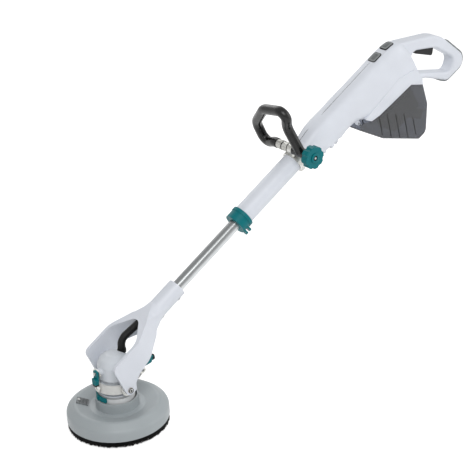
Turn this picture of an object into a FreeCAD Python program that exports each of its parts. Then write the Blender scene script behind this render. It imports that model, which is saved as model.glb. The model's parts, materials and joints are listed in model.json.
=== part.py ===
import FreeCAD, Part
import math
import os
import Sketcher
from FreeCAD import Placement, Rotation, Vector

# Pole drywall sander, in millimetres.
#
# The origin is the centre of the sanding face, which lies on z = 0 with its abrasive down.
# The tool's plane of symmetry is XZ, and the pole rises towards +X at pole_angle.
#
# Four frames carry the pieces:
#   head   the model's own frame, with the spindle on Z;
#   motor  the same, with the motor's shaft on Z;
#   pivot  the head's frame raised to the gimbal's centre;
#   pole   X along the pole's axis, Y across it and Z above it, starting abeam the gimbal's centre.

SIZES = {
    # stance
    "pole_angle": 30.0,
    "pivot_height": 115.0,
    "axis_offset": 58.0,
    # clearances
    "running_gap": 0.3,
    "shaft_gap": 0.05,
    "free_gap": 1.0,
    # pad
    "pad_radius": 112.5,
    "disc_thickness": 1.6,
    "foam_thickness": 10.0,
    "plate_thickness": 4.4,
    "dust_hole_radius": 5.5,
    "dust_hole_count": 8.0,
    "dust_hole_circle": 84.0,
    "pad_centre_radius": 13.0,
    # shroud
    "shroud_radius": 125.5,
    "shroud_rim_height": 18.0,
    "shroud_shoulder_height": 44.0,
    "shroud_crown_radius": 103.0,
    "shroud_crown_height": 61.0,
    "shroud_valley_radius": 68.0,
    "shroud_valley_height": 50.0,
    "shroud_wall": 2.6,
    "shroud_bore": 22.0,
    "shroud_neck_radius": 53.5,
    "shroud_neck_top": 76.0,
    "shroud_edge_round": 13.0,
    "shroud_valley_round": 10.0,
    "skirt_thickness": 4.6,
    "skirt_grip": 12.0,
    "bristle_lift": 0.4,
    # grille on the shroud
    "grille_angle": 139.0,
    "grille_length": 30.0,
    "grille_width": 26.0,
    "grille_thickness": 5.0,
    "grille_slots": 4.0,
    "grille_slot_width": 2.4,
    "grille_screw_radius": 3.6,
    # gear case
    "case_radius": 45.0,
    "case_flange_radius": 49.0,
    "case_floor": 4.0,
    "case_wall": 3.0,
    "case_top": 92.0,
    "case_top_plate": 5.0,
    "neck_radius": 17.0,
    "neck_base": 36.0,
    "case_screw_radius": 2.5,
    "case_screw_circle": 34.0,
    "case_screw_count": 6.0,
    # spindle and gears
    "spindle_radius": 6.0,
    "spindle_flange_radius": 20.0,
    "spindle_flange_height": 4.0,
    "spindle_top": 80.0,
    "bearing_radius": 13.0,
    "bearing_width": 6.0,
    "gear_module": 1.0,
    "wheel_teeth": 45.0,
    "pinion_teeth": 15.0,
    "gear_width": 9.0,
    "gear_base": 68.0,
    "wheel_rim": 3.4,
    "wheel_web": 4.0,
    # motor
    "motor_shaft_radius": 2.5,
    "motor_bearing_radius": 8.0,
    "motor_bearing_width": 5.0,
    "rotor_radius": 10.5,
    "stator_bore": 11.1,
    "stator_radius": 19.0,
    "stator_yoke": 3.0,
    "stator_height": 34.0,
    "stator_base": 106.0,
    "stator_poles": 6.0,
    "stator_pole_width": 5.0,
    "fan_radius": 16.0,
    "fan_blades": 9.0,
    "fan_height": 7.0,
    "fan_base": 145.0,
    "waist_radius": 38.0,
    "dome_radius": 40.5,
    "dome_base": 132.0,
    "dome_shoulder": 166.0,
    "dome_top": 191.0,
    "dome_bend_radius": 34.0,
    "dome_bend_height": 182.0,
    "dome_crown_radius": 19.0,
    "housing_wall": 2.6,
    # gimbal
    "ring_radius": 50.0,
    "ring_bore": 45.0,
    "ring_height": 24.0,
    "pin_radius": 4.0,
    "pin_boss_radius": 9.0,
    "pitch_boss_radius": 13.0,
    "bolt_head_radius": 6.0,
    "bolt_head_height": 4.0,
    "bush_radius": 6.5,
    "quadrant_thickness": 2.5,
    "quadrant_radius": 56.0,
    "quadrant_width": 17.0,
    "quadrant_slot": 8.6,
    "swing_radius": 43.0,
    "swing_angle": 95.0,
    "swing_travel": 7.0,
    "pitch_down": 20.0,
    "pitch_up": 45.0,
    "tilt_bolt_angle": 28.0,
    # levers
    "lever_length": 52.0,
    "lever_width": 14.0,
    "lever_hub_radius": 9.0,
    "lever_hub_thickness": 4.0,
    "lever_thickness": 10.0,
    "tilt_lever_angle": 21.0,
    "swing_lever_length": 32.0,
    "swing_lever_width": 17.0,
    "catch_radius": 50.0,
    "catch_height": 10.0,
    "catch_base": 78.0,
    "catch_span": 66.0,
    "catch_middle": 172.0,
    # fork
    "arm_centre": 59.0,
    "arm_thickness": 8.0,
    "lug_radius": 14.0,
    "fork_bend": 88.0,
    "fork_crotch": 134.0,
    "fork_reach": 192.0,
    "socket_radius": 24.0,
    "socket_end": 264.0,
    "fork_wall": 3.0,
    "fork_screw_radius": 2.6,
    "fork_screw_inset": 20.0,
    "fork_screw_spread": 18.4,
    "cover_split": 9.0,
    # dust hose
    "hose_radius": 9.0,
    "hose_sink": 5.0,
    "hose_rise": 33.0,
    "hose_bend_radius": 25.7,
    "hose_end_along": 135.0,
    "hose_end_rise": 12.0,
    "gland_radius": 11.0,
    "gland_length": 8.0,
    # pole
    "inner_radius": 15.0,
    "inner_wall": 2.0,
    "inner_start": 206.0,
    "inner_end": 806.0,
    "outer_radius": 26.0,
    "outer_wall": 3.0,
    "outer_start": 500.0,
    "outer_end": 832.0,
    "guide_length": 24.0,
    "collar_start": 480.0,
    "collar_rim_radius": 30.5,
    "collar_rim_width": 9.0,
    "collar_radius": 29.0,
    "collar_length": 32.0,
    "collar_ear_reach": 39.0,
    "collar_ear_width": 5.0,
    "collar_ear_gap": 7.0,
    "collar_ear_turn": 140.0,
    # front handle
    "grip_pivot_u": 716.0,
    "grip_pivot_rise": 39.0,
    "clamp_width": 30.0,
    "clamp_wall": 4.0,
    "clamp_lug_start": -17.7,
    "clamp_lug_width": 15.4,
    "handle_hub_radius": 12.7,
    "handle_hub_length": 58.0,
    "handle_eye_length": 24.0,
    "bar_radius": 13.0,
    "loop_half_width": 73.0,
    "loop_height": 123.0,
    "loop_lean": 20.0,
    "ferrule_radius": 12.0,
    "ferrule_length": 22.0,
    "knob_radius": 29.0,
    "knob_width": 19.0,
    "knob_hub_depth": 5.0,
    "knob_lobes": 8.0,
    "knob_lobe_radius": 9.0,
    "handle_bolt_radius": 4.0,
    # rear housing
    "body_start": 738.0,
    "body_top": 36.5,
    "body_half_width": 33.5,
    "body_wall": 2.8,
    "nose_radius": 30.0,
    "belly_depth": 47.0,
    "belly_drop": 86.0,
    "grip_half_width": 20.0,
    "grip_round": 7.0,
    "bumper_thickness": 4.0,
    "bumper_half_width": 14.0,
    "button_length": 29.0,
    "button_width": 22.0,
    "button_first": 1054.0,
    "button_pitch": 47.0,
    "button_height": 10.5,
    "button_proud": 1.6,
    "button_tilt": 12.0,
    "button_corner": 4.0,
    "bezel_margin": 2.2,
    "bezel_proud": 0.7,
    "board_thickness": 1.6,
    "board_drop": 18.0,
    "trigger_width": 18.0,
    "trigger_travel": 7.0,
    "trigger_pin_grip": 5.0,
    "trigger_pin_radius": 1.5,
    "release_length": 17.0,
    "release_height": 9.0,
    "release_depth": 7.0,
    "switch_width": 12.0,
    # battery and its cover
    "cover_half_width": 36.0,
    "cover_wall": 2.4,
    "cover_round": 4.5,
    "cover_depth": 163.0,
    "hinge_lug_end": 24.0,
    "hinge_lug_width": 8.0,
    "hinge_radius": 2.5,
    "battery_length": 106.0,
    "battery_width": 62.0,
    "battery_height": 62.0,
    "battery_start": 986.0,
    "battery_top": 104.0,
    "unit_length": 90.0,
    "unit_width": 50.0,
    "unit_height": 44.0,
    "unit_base": -82.0,
    "screw_radius": 2.6,
    "screw_seat": 12.0,
}

doc = FreeCAD.newDocument("pole_drywall_sander")
sheet = doc.addObject("Spreadsheet::Sheet", "Sizes")
for row, (alias, amount) in enumerate(SIZES.items(), start=1):
    sheet.set("A%d" % row, alias)
    sheet.set("B%d" % row, repr(amount))
    sheet.setAlias("B%d" % row, alias)
doc.recompute()


class Size:
    """A number, with the expression that ties a property to the spreadsheet."""

    def __init__(self, value, text):
        self.value = value
        self.text = text

    def __add__(self, other):
        other = as_size(other)
        return Size(self.value + other.value, "(%s + %s)" % (self.text, other.text))

    def __radd__(self, other):
        return as_size(other) + self

    def __sub__(self, other):
        other = as_size(other)
        return Size(self.value - other.value, "(%s - %s)" % (self.text, other.text))

    def __rsub__(self, other):
        return as_size(other) - self

    def __mul__(self, other):
        other = as_size(other)
        return Size(self.value * other.value, "(%s * %s)" % (self.text, other.text))

    __rmul__ = __mul__

    def __truediv__(self, other):
        other = as_size(other)
        return Size(self.value / other.value, "(%s / %s)" % (self.text, other.text))

    def __rtruediv__(self, other):
        return as_size(other) / self

    def __neg__(self):
        return Size(-self.value, "(0 - %s)" % self.text)

    def __float__(self):
        return float(self.value)


def as_size(amount):
    return amount if isinstance(amount, Size) else Size(float(amount), repr(float(amount)))


class Sheet:
    """The spreadsheet's cells as attributes."""

    def __getattr__(self, alias):
        return Size(float(sheet.get(alias)), "Sizes." + alias)


d = Sheet()


def sine(degrees):
    degrees = as_size(degrees)
    return Size(math.sin(math.radians(degrees.value)), "sin(%s * 1 deg)" % degrees.text)


def cosine(degrees):
    degrees = as_size(degrees)
    return Size(math.cos(math.radians(degrees.value)), "cos(%s * 1 deg)" % degrees.text)


# ---------------------------------------------------------------- frames and nodes

FRAMES = {
    "head": "placement(vector(0; 0; 0); rotation(vector(0; 0; 1); 0))",
    "pivot": "placement(vector(0; 0; Sizes.pivot_height); rotation(vector(0; 0; 1); 0))",
    "motor": "placement(vector(-Sizes.gear_module * (Sizes.wheel_teeth - Sizes.pinion_teeth) / 2; 0; 0);"
             " rotation(vector(0; 0; 1); 0))",
    "pole": "placement(vector(-Sizes.axis_offset * sin(Sizes.pole_angle * 1 deg); 0;"
            " Sizes.pivot_height + Sizes.axis_offset * cos(Sizes.pole_angle * 1 deg));"
            " rotation(vector(0; 1; 0); -Sizes.pole_angle))",
}
NODES = []


def frame_placement(frame):
    """The frame's place, for shapes that are set rather than computed."""
    if frame == "head":
        return Placement()
    if frame == "motor":
        return Placement(Vector(motor_offset.value, 0, 0), Rotation())
    if frame == "pivot":
        return Placement(Vector(0, 0, d.pivot_height.value), Rotation())
    angle = math.radians(d.pole_angle.value)
    base = Vector(-d.axis_offset.value * math.sin(angle), 0,
                  d.pivot_height.value + d.axis_offset.value * math.cos(angle))
    return Placement(base, Rotation(Vector(0, 1, 0), -d.pole_angle.value))


def node(label, solid, frame="head"):
    """Names a finished sub-part and puts it in its frame."""
    if solid.TypeId == "Part::Cylinder":
        solid = group([solid])
    solid.Label = label
    solid.setExpression("Placement", FRAMES[frame])
    NODES.append(solid)
    return solid


def fixed_node(label, shape, frame="head"):
    """A sub-part whose shape is set directly, from sizes read off the sheet."""
    feature = doc.addObject("Part::Feature", label)
    feature.Shape = shape
    feature.Placement = frame_placement(frame) * feature.Placement
    feature.Label = label
    NODES.append(feature)
    return feature


# ---------------------------------------------------------------- primitives

TURNS = {
    "X": Rotation(Vector(0, 1, 0), 90),
    "Y": Rotation(Vector(1, 0, 0), -90),
    "Z": Rotation(),
}


def bind(thing, prop, amount):
    amount = as_size(amount)
    thing.setExpression(prop, amount.text)


def place(solid, spot, axis="Z"):
    solid.Placement = Placement(Vector(*[float(value) for value in spot]), TURNS[axis])
    for letter, value in zip("xyz", spot):
        if isinstance(value, Size):
            solid.setExpression("Placement.Base." + letter, value.text)
    return solid


def rod(radius, length, spot=(0, 0, 0), axis="Z"):
    solid = doc.addObject("Part::Cylinder", "Rod")
    bind(solid, "Radius", radius)
    bind(solid, "Height", length)
    return place(solid, spot, axis)


def block(size, spot):
    """A box, centred on spot in X and Y, and standing on it in Z."""
    solid = doc.addObject("Part::Box", "Block")
    for prop, amount in zip(("Length", "Width", "Height"), size):
        bind(solid, prop, amount)
    return place(solid, (spot[0] - as_size(size[0]) / 2, spot[1] - as_size(size[1]) / 2, spot[2]))


def fuse(pieces):
    if len(pieces) == 1:
        return pieces[0]
    solid = doc.addObject("Part::MultiFuse", "Fuse")
    solid.Shapes = pieces
    return solid


def cut(base, tools):
    solid = doc.addObject("Part::Cut", "Cut")
    solid.Base = base
    solid.Tool = fuse(tools)
    return solid


def group(pieces):
    solid = doc.addObject("Part::Compound", "Group")
    solid.Links = pieces
    return solid


def tube(outer, bore, length, spot=(0, 0, 0), axis="Z"):
    return cut(rod(outer, length, spot, axis), [rod(bore, length, spot, axis)])


# ---------------------------------------------------------------- bodies with sketches

def new_body(name):
    return doc.addObject("PartDesign::Body", name)


def new_sketch(body, plane, name, height=0.0):
    """A sketch on one of the body's own origin planes, raised by height along its normal."""
    sketch = body.newObject("Sketcher::SketchObject", name)
    support = [item for item in body.Origin.OriginFeatures if item.Role == plane][0]
    sketch.AttachmentSupport = (support, "")
    sketch.MapMode = "FlatFace"
    if height:
        sketch.AttachmentOffset = Placement(Vector(0, 0, float(height)), Rotation())
        sketch.setExpression("AttachmentOffset.Base.z", as_size(height).text)
    return sketch


def pin_point(sketch, geometry, end, point):
    """Holds one end of a sketch line at a point given by two sizes."""
    for kind, value in zip(("DistanceX", "DistanceY"), point):
        value = as_size(value)
        index = sketch.addConstraint(Sketcher.Constraint(kind, -1, 1, geometry, end, value.value))
        sketch.setExpression("Constraints[%d]" % index, value.text)


def draw_outline(sketch, points):
    """A closed outline of straight lines through points, each held by its own sizes."""
    first = sketch.GeometryCount
    count = len(points)
    for index in range(count):
        start = Vector(*[float(value) for value in points[index]], 0)
        end = Vector(*[float(value) for value in points[(index + 1) % count]], 0)
        sketch.addGeometry(Part.LineSegment(start, end), False)
    for index in range(count):
        following = first + (index + 1) % count
        sketch.addConstraint(Sketcher.Constraint("Coincident", first + index, 2, following, 1))
        pin_point(sketch, first + index, 1, points[index])


def draw_circle(sketch, radius, x=0.0, y=0.0):
    circle = sketch.addGeometry(
        Part.Circle(Vector(float(x), float(y), 0), Vector(0, 0, 1), float(radius)), False)
    pin_point(sketch, circle, 3, (x, y))
    index = sketch.addConstraint(Sketcher.Constraint("Radius", circle, float(radius)))
    sketch.setExpression("Constraints[%d]" % index, as_size(radius).text)


def pad(body, sketch, length, midplane=False):
    feature = body.newObject("PartDesign::Pad", "Pad")
    feature.Profile = sketch
    feature.Midplane = midplane
    bind(feature, "Length", length)
    return feature


def pocket(body, sketch, length, reverse=True, midplane=False):
    """Cuts the sketch's outline upward from its plane, and makes sure that it removed something."""
    doc.recompute()
    before = body.Shape.Volume
    feature = body.newObject("PartDesign::Pocket", "Pocket")
    feature.Profile = sketch
    feature.Reversed = reverse
    feature.Midplane = midplane
    bind(feature, "Length", length)
    doc.recompute()
    if not feature.Shape.Volume < before:
        raise RuntimeError("a pocket in %s removed nothing" % body.Name)
    return feature


def repeat(body, feature, count, plane_role="Z_Axis"):
    pattern = body.newObject("PartDesign::PolarPattern", "Pattern")
    pattern.Originals = [feature]
    axis = [item for item in body.Origin.OriginFeatures if item.Role == plane_role][0]
    pattern.Axis = (axis, [""])
    pattern.Angle = 360
    bind(pattern, "Occurrences", count)
    body.Tip = pattern
    return pattern


def revolve(body, sketch):
    feature = body.newObject("PartDesign::Revolution", "Turn")
    feature.Profile = sketch
    feature.ReferenceAxis = (sketch, ["V_Axis"])
    feature.Angle = 360
    return feature


def round_edges(body, base, radius, wanted):
    """Rounds the edges of base that wanted picks."""
    doc.recompute()
    names = ["Edge%d" % (index + 1) for index, edge in enumerate(base.Shape.Edges) if wanted(edge)]
    if not names:
        raise RuntimeError("no edge to round in %s" % body.Name)
    feature = body.newObject("PartDesign::Fillet", "Round")
    feature.Base = (base, names)
    bind(feature, "Radius", radius)
    body.Tip = feature
    return feature


def turned(name, outline):
    """A body made by turning an outline of (radius, height) points about Z."""
    body = new_body(name)
    sketch = new_sketch(body, "XZ_Plane", name + "_profile")
    draw_outline(sketch, outline)
    return body, revolve(body, sketch)


def circle_near(radius, height):
    """Picks whole circles of this radius at this height."""
    def wanted(edge):
        curve = edge.Curve
        if not isinstance(curve, Part.Circle):
            return False
        return (abs(curve.Radius - float(radius)) < 0.01
                and abs(curve.Center.z - float(height)) < 0.01)
    return wanted


def either(*choices):
    return lambda edge: any(choice(edge) for choice in choices)


# ---------------------------------------------------------------- shapes with soft outlines

def rounded_path(points, radii):
    """Straight runs joined by tangent arcs: one radius for each inner point."""
    edges = []
    start = points[0]
    for index in range(1, len(points) - 1):
        corner = points[index]
        if radii[index - 1] == 0:
            edges.append(Part.LineSegment(start, corner).toShape())
            start = corner
            continue
        back = (points[index - 1] - corner).normalize()
        ahead = (points[index + 1] - corner).normalize()
        half = back.getAngle(ahead) / 2
        reach = radii[index - 1] / math.tan(half)
        first = corner + back * reach
        last = corner + ahead * reach
        middle_way = (back + ahead).normalize()
        centre = corner + middle_way * (radii[index - 1] / math.sin(half))
        middle = centre - middle_way * radii[index - 1]
        if (first - start).Length > 1e-6:
            edges.append(Part.LineSegment(start, first).toShape())
        edges.append(Part.Arc(first, middle, last).toShape())
        start = last
    if (points[-1] - start).Length > 1e-6:
        edges.append(Part.LineSegment(start, points[-1]).toShape())
    return Part.Wire(edges)


def rounded_outline(corners):
    """A closed outline in the XZ plane from corners of (x, z, radius)."""
    count = len(corners)
    points = [Vector(float(x), 0, float(z)) for x, z, radius in corners]
    radii = [float(radius) for x, z, radius in corners]
    opening = (points[-1] + points[0]) * 0.5
    route = [opening] + points + [opening]
    return rounded_path(route, radii)


def slab(corners, low, high):
    """A closed outline in the XZ plane, given thickness from y = low to y = high."""
    face = Part.Face(rounded_outline(corners))
    face.translate(Vector(0, float(low), 0))
    return face.extrude(Vector(0, float(high) - float(low), 0))


def soft_section(centre, half_height, half_width, along, squareness):
    """A closed smooth section, between an ellipse (2) and a rectangle (large), across along."""
    along = Vector(along).normalize()
    side = Vector(0, 1, 0)
    up = along.cross(side).normalize() * -1
    points = []
    steps = 24
    for step in range(steps):
        turn = 2 * math.pi * step / steps
        across = math.cos(turn)
        rise = math.sin(turn)
        across = math.copysign(abs(across) ** (2 / squareness), across) * half_width
        rise = math.copysign(abs(rise) ** (2 / squareness), rise) * half_height
        points.append(centre + side * across + up * rise)
    curve = Part.BSplineCurve()
    curve.interpolate(points, PeriodicFlag=True)
    return Part.Wire(curve.toShape())


def skin(sections):
    return Part.makeLoft(sections, True)


def pipe(path, radius):
    """A round bar along a path."""
    first = path.Edges[0]
    start = path.OrderedVertexes[0].Point
    way = first.tangentAt(first.FirstParameter)
    disc = Part.Wire(Part.makeCircle(radius, start, way))
    return path.makePipeShell([disc], True, False)


def carve(shape, tools):
    """Cuts the tools away one by one, and makes sure that each removes something."""
    for tool in tools:
        rest = shape.cut(tool)
        if not rest.Volume < shape.Volume:
            raise RuntimeError("a cut removed nothing")
        shape = rest
    return shape


# ================================================================ head: sanding pad

foam_base = d.disc_thickness
plate_base = foam_base + d.foam_thickness
plate_top = plate_base + d.plate_thickness


def perforated_disc(name, base, thickness, bore):
    """A round layer of the pad, with the ring of dust holes that the layers share."""
    body = new_body(name)
    face = new_sketch(body, "XY_Plane", name + "_face", base)
    draw_circle(face, d.pad_radius)
    if bore is not None:
        draw_circle(face, bore)
    pad(body, face, thickness)
    hole = new_sketch(body, "XY_Plane", name + "_hole", base)
    draw_circle(hole, d.dust_hole_radius, d.dust_hole_circle, 0)
    repeat(body, pocket(body, hole, thickness), d.dust_hole_count)
    node(name, body)


perforated_disc("sanding_disc", 0.0, d.disc_thickness, None)
perforated_disc("pad_foam", foam_base, d.foam_thickness, d.pad_centre_radius)
perforated_disc("backing_plate", plate_base, d.plate_thickness, d.spindle_radius)


def spindle():
    """Shaft and flange of the pad drive, bored for the pad's screw."""
    shaft = rod(d.spindle_radius, d.spindle_top - plate_base, (0, 0, plate_base))
    flange = rod(d.spindle_flange_radius, d.spindle_flange_height, (0, 0, plate_top))
    bore = rod(d.spindle_radius / 2, d.spindle_radius * 3, (0, 0, plate_base))
    node("spindle", cut(fuse([shaft, flange]), [bore]))
    head_height = d.spindle_radius / 2
    head = rod(d.pad_centre_radius - 2 * d.free_gap, head_height, (0, 0, plate_base - head_height))
    shank = rod(d.spindle_radius / 2, d.spindle_radius * 2, (0, 0, plate_base))
    node("pad_screw", fuse([head, shank]))


spindle()


# ================================================================ head: shroud and skirt

def in_grille_place(shape):
    """Moves a shape drawn flat at the origin to its place on the slope under the shroud's crown."""
    rise = d.shroud_crown_height.value - d.shroud_valley_height.value
    run = d.shroud_crown_radius.value - d.shroud_valley_radius.value
    shape.rotate(Vector(), Vector(0, 1, 0), -math.degrees(math.atan2(rise, run)))
    shape.translate(Vector(d.shroud_valley_radius.value + run / 2, 0,
                           d.shroud_valley_height.value + rise / 2))
    shape.rotate(Vector(), Vector(0, 0, 1), d.grille_angle.value)
    return shape


def flat_box(length, width, low, high, x=0.0, y=0.0):
    """A box centred on (x, y), from z = low to z = high, as a plain shape."""
    corner = Vector(x - length / 2, y - width / 2, low)
    return Part.makeBox(length, width, high - low, corner)


def around_case(make):
    """One copy of a piece for each of the gear case's screws."""
    copies = []
    for index in range(int(d.case_screw_count.value)):
        turn = 360.0 / d.case_screw_count * index + 30
        copies.append(make(d.case_screw_circle * cosine(turn), d.case_screw_circle * sine(turn)))
    return copies


def shroud():
    """Dust shroud: a shallow cover with a raised crown and a valley round the gear case."""
    wall = d.shroud_wall
    inner_crown = d.shroud_crown_height - wall * 1.1
    inner_shoulder = d.shroud_shoulder_height - wall / 2
    body, turn = turned("Shroud_shell", [
        (d.shroud_bore, d.shroud_valley_height),
        (d.shroud_valley_radius, d.shroud_valley_height),
        (d.shroud_crown_radius, d.shroud_crown_height),
        (d.shroud_radius, d.shroud_shoulder_height),
        (d.shroud_radius, d.shroud_rim_height),
        (d.shroud_radius - wall, d.shroud_rim_height),
        (d.shroud_radius - wall, inner_shoulder),
        (d.shroud_crown_radius, inner_crown),
        (d.shroud_valley_radius + wall / 4, d.shroud_valley_height - wall),
        (d.shroud_bore, d.shroud_valley_height - wall),
    ])
    rounded = round_edges(body, turn, d.shroud_edge_round, either(
        circle_near(d.shroud_crown_radius, d.shroud_crown_height),
        circle_near(d.shroud_radius, d.shroud_shoulder_height)))
    rounded = round_edges(body, rounded, d.shroud_edge_round - wall, either(
        circle_near(d.shroud_crown_radius, inner_crown),
        circle_near(d.shroud_radius - wall, inner_shoulder)))
    round_edges(body, rounded, d.shroud_valley_round,
                circle_near(d.shroud_valley_radius, d.shroud_valley_height))
    window = doc.addObject("Part::Feature", "Grille_window")
    deep = d.grille_thickness.value * 3
    window.Shape = in_grille_place(
        flat_box(d.grille_length.value, d.grille_width.value, -deep, deep))
    screw_holes = around_case(
        lambda x, y: rod(d.case_screw_radius, wall * 2, (x, y, d.shroud_valley_height - wall * 1.5)))
    neck = tube(d.shroud_neck_radius, d.case_flange_radius + d.running_gap,
                d.shroud_neck_top - d.shroud_valley_height, (0, 0, d.shroud_valley_height))
    node("shroud", cut(fuse([body, neck]), [window] + screw_holes))


def brush_skirt():
    """Ring of bristles in its holder, gripped inside the shroud's rim."""
    inner = d.shroud_radius - d.skirt_thickness - d.shroud_wall
    body, turn = turned("Brush_skirt_ring", [
        (inner, d.bristle_lift),
        (d.shroud_radius, d.bristle_lift),
        (d.shroud_radius, d.shroud_rim_height),
        (d.shroud_radius - d.shroud_wall, d.shroud_rim_height),
        (d.shroud_radius - d.shroud_wall, d.shroud_rim_height + d.skirt_grip),
        (inner, d.shroud_rim_height + d.skirt_grip),
    ])
    node("brush_skirt", body)


def vent_grille():
    """Slotted insert on the shroud's slope, with the screw that holds it."""
    half = d.grille_thickness.value / 2
    plate = flat_box(d.grille_length.value, d.grille_width.value, -half, half)
    count = int(d.grille_slots.value)
    pitch = d.grille_width.value / (count + 1)
    slot_length = d.grille_length.value - 6 * d.grille_screw_radius.value / 2
    for index in range(count):
        offset = (index + 1) * pitch - d.grille_width.value / 2
        plate = plate.cut(flat_box(slot_length, d.grille_slot_width.value, -half * 2, half * 2,
                                   -d.grille_screw_radius.value, offset))
    screw_x = d.grille_length.value / 2 - d.grille_screw_radius.value * 1.3
    hole = Part.makeCylinder(d.grille_screw_radius.value / 2, half * 4, Vector(screw_x, 0, -half * 2))
    fixed_node("vent_grille", in_grille_place(plate.cut(hole)))
    head = Part.makeCylinder(d.grille_screw_radius.value, half, Vector(screw_x, 0, half))
    shank = Part.makeCylinder(d.grille_screw_radius.value / 2, half * 2, Vector(screw_x, 0, -half))
    screw = doc.addObject("Part::Feature", "Grille_screw")
    screw.Shape = in_grille_place(head.fuse(shank))
    return screw


shroud()
brush_skirt()
grille_screw = vent_grille()


# ================================================================ head: gear case and gears

motor_offset = -(d.gear_module * (d.wheel_teeth - d.pinion_teeth) / 2)
case_base = d.shroud_valley_height
case_plate_base = d.case_top - d.case_top_plate
wheel_pitch = d.gear_module * d.wheel_teeth / 2
pinion_pitch = d.gear_module * d.pinion_teeth / 2

# Tooth proportions, in modules: heights above and below the pitch circle, and half widths.
TOOTH_TIP = 0.9
TOOTH_ROOT = 1.2
TOOTH_HALF = 0.66
GAP_HALF = 0.91
FLANK = 0.364


def gear_case():
    """Cup of the gear case: a neck with two bearing seats, a flange on the shroud, and a wall."""
    inner = d.case_radius - d.case_wall
    floor_top = case_base + d.case_floor
    body, turn = turned("Gear_case_cup", [
        (d.bearing_radius, d.neck_base),
        (d.neck_radius, d.neck_base),
        (d.neck_radius, case_base),
        (d.case_flange_radius, case_base),
        (d.case_flange_radius, floor_top),
        (d.case_radius, floor_top),
        (d.case_radius, case_plate_base),
        (inner, case_plate_base),
        (inner, floor_top),
        (d.bearing_radius, floor_top),
    ])
    holes = around_case(lambda x, y: rod(d.case_screw_radius, d.case_floor * 2,
                                         (x, y, case_base - d.case_floor / 2)))
    node("gear_case", cut(body, holes))
    bore = d.spindle_radius + d.shaft_gap
    lower = tube(d.bearing_radius, bore, d.bearing_width, (0, 0, d.neck_base))
    upper = tube(d.bearing_radius, bore, d.bearing_width,
                 (0, 0, floor_top - d.bearing_width))
    motor_lower = tube(d.motor_bearing_radius, d.motor_shaft_radius, d.case_top_plate,
                       (motor_offset, 0, case_plate_base))
    motor_upper = tube(d.motor_bearing_radius, d.motor_shaft_radius, d.motor_bearing_width,
                       (motor_offset, 0, d.dome_shoulder - d.motor_bearing_width))
    node("bearings", group([lower, upper, motor_lower, motor_upper]))
    head_low = case_base - d.shroud_wall - d.shroud_wall
    screws = around_case(lambda x, y: fuse([
        rod(d.case_screw_radius * 1.7, d.shroud_wall, (x, y, head_low)),
        rod(d.case_screw_radius, d.shroud_wall + d.case_floor, (x, y, head_low + d.shroud_wall))]))
    node("case_screws", group(screws + [grille_screw]))


def case_plate():
    """Lid of the gear case, which seats the motor's lower bearing."""
    lid = rod(d.case_radius, d.case_top_plate, (0, 0, case_plate_base))
    seat = rod(d.motor_bearing_radius, d.case_top_plate, (motor_offset, 0, case_plate_base))
    passage = rod(d.motor_bearing_radius, d.case_top_plate, (-motor_offset * 1.5, 0, case_plate_base))
    node("case_plate", cut(lid, [seat, passage]))


def gear_wheel():
    """Internal gear on the spindle, driven by the motor's pinion."""
    tip = wheel_pitch - d.gear_module * TOOTH_TIP
    root = wheel_pitch + d.gear_module * TOOTH_ROOT
    tip_half = d.gear_module * (GAP_HALF + FLANK * (TOOTH_TIP + 0.5))
    root_half = d.gear_module * (GAP_HALF - FLANK * TOOTH_ROOT)
    body = new_body("Gear_wheel_blank")
    blank = new_sketch(body, "XY_Plane", "wheel_blank", d.gear_base - d.wheel_web)
    draw_circle(blank, root + d.wheel_rim)
    draw_circle(blank, d.spindle_radius)
    pad(body, blank, d.gear_width + d.wheel_web)
    inside = new_sketch(body, "XY_Plane", "wheel_inside", d.gear_base)
    draw_circle(inside, tip)
    pocket(body, inside, d.gear_width)
    gap = new_sketch(body, "XY_Plane", "wheel_gap", d.gear_base)
    draw_outline(gap, [(-(tip - d.gear_module / 2), -tip_half), (-(tip - d.gear_module / 2), tip_half),
                       (-root, root_half), (-root, -root_half)])
    repeat(body, pocket(body, gap, d.gear_width), d.wheel_teeth)
    node("gear_wheel", body)


def drive_pinion():
    """Pinion at the foot of the motor's shaft."""
    root = pinion_pitch - d.gear_module * TOOTH_ROOT
    tip = pinion_pitch + d.gear_module * TOOTH_TIP
    root_half = d.gear_module * (TOOTH_HALF + FLANK * (TOOTH_ROOT + 0.5))
    tip_half = d.gear_module * (TOOTH_HALF - FLANK * TOOTH_TIP)
    low = d.gear_base + d.free_gap / 2
    length = d.gear_width - d.free_gap
    body = new_body("Pinion_blank")
    blank = new_sketch(body, "XY_Plane", "pinion_blank", low)
    draw_circle(blank, root)
    draw_circle(blank, d.motor_shaft_radius)
    pad(body, blank, length)
    tooth = new_sketch(body, "XY_Plane", "pinion_tooth", low)
    draw_outline(tooth, [(-(root - d.gear_module / 2), -root_half),
                         (-(root - d.gear_module / 2), root_half), (-tip, tip_half), (-tip, -tip_half)])
    repeat(body, pad(body, tooth, length), d.pinion_teeth)
    node("drive_pinion", body, "motor")


gear_case()
case_plate()
gear_wheel()
drive_pinion()


# ================================================================ head: motor

bridge_base = d.dome_shoulder - d.motor_bearing_width


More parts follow.
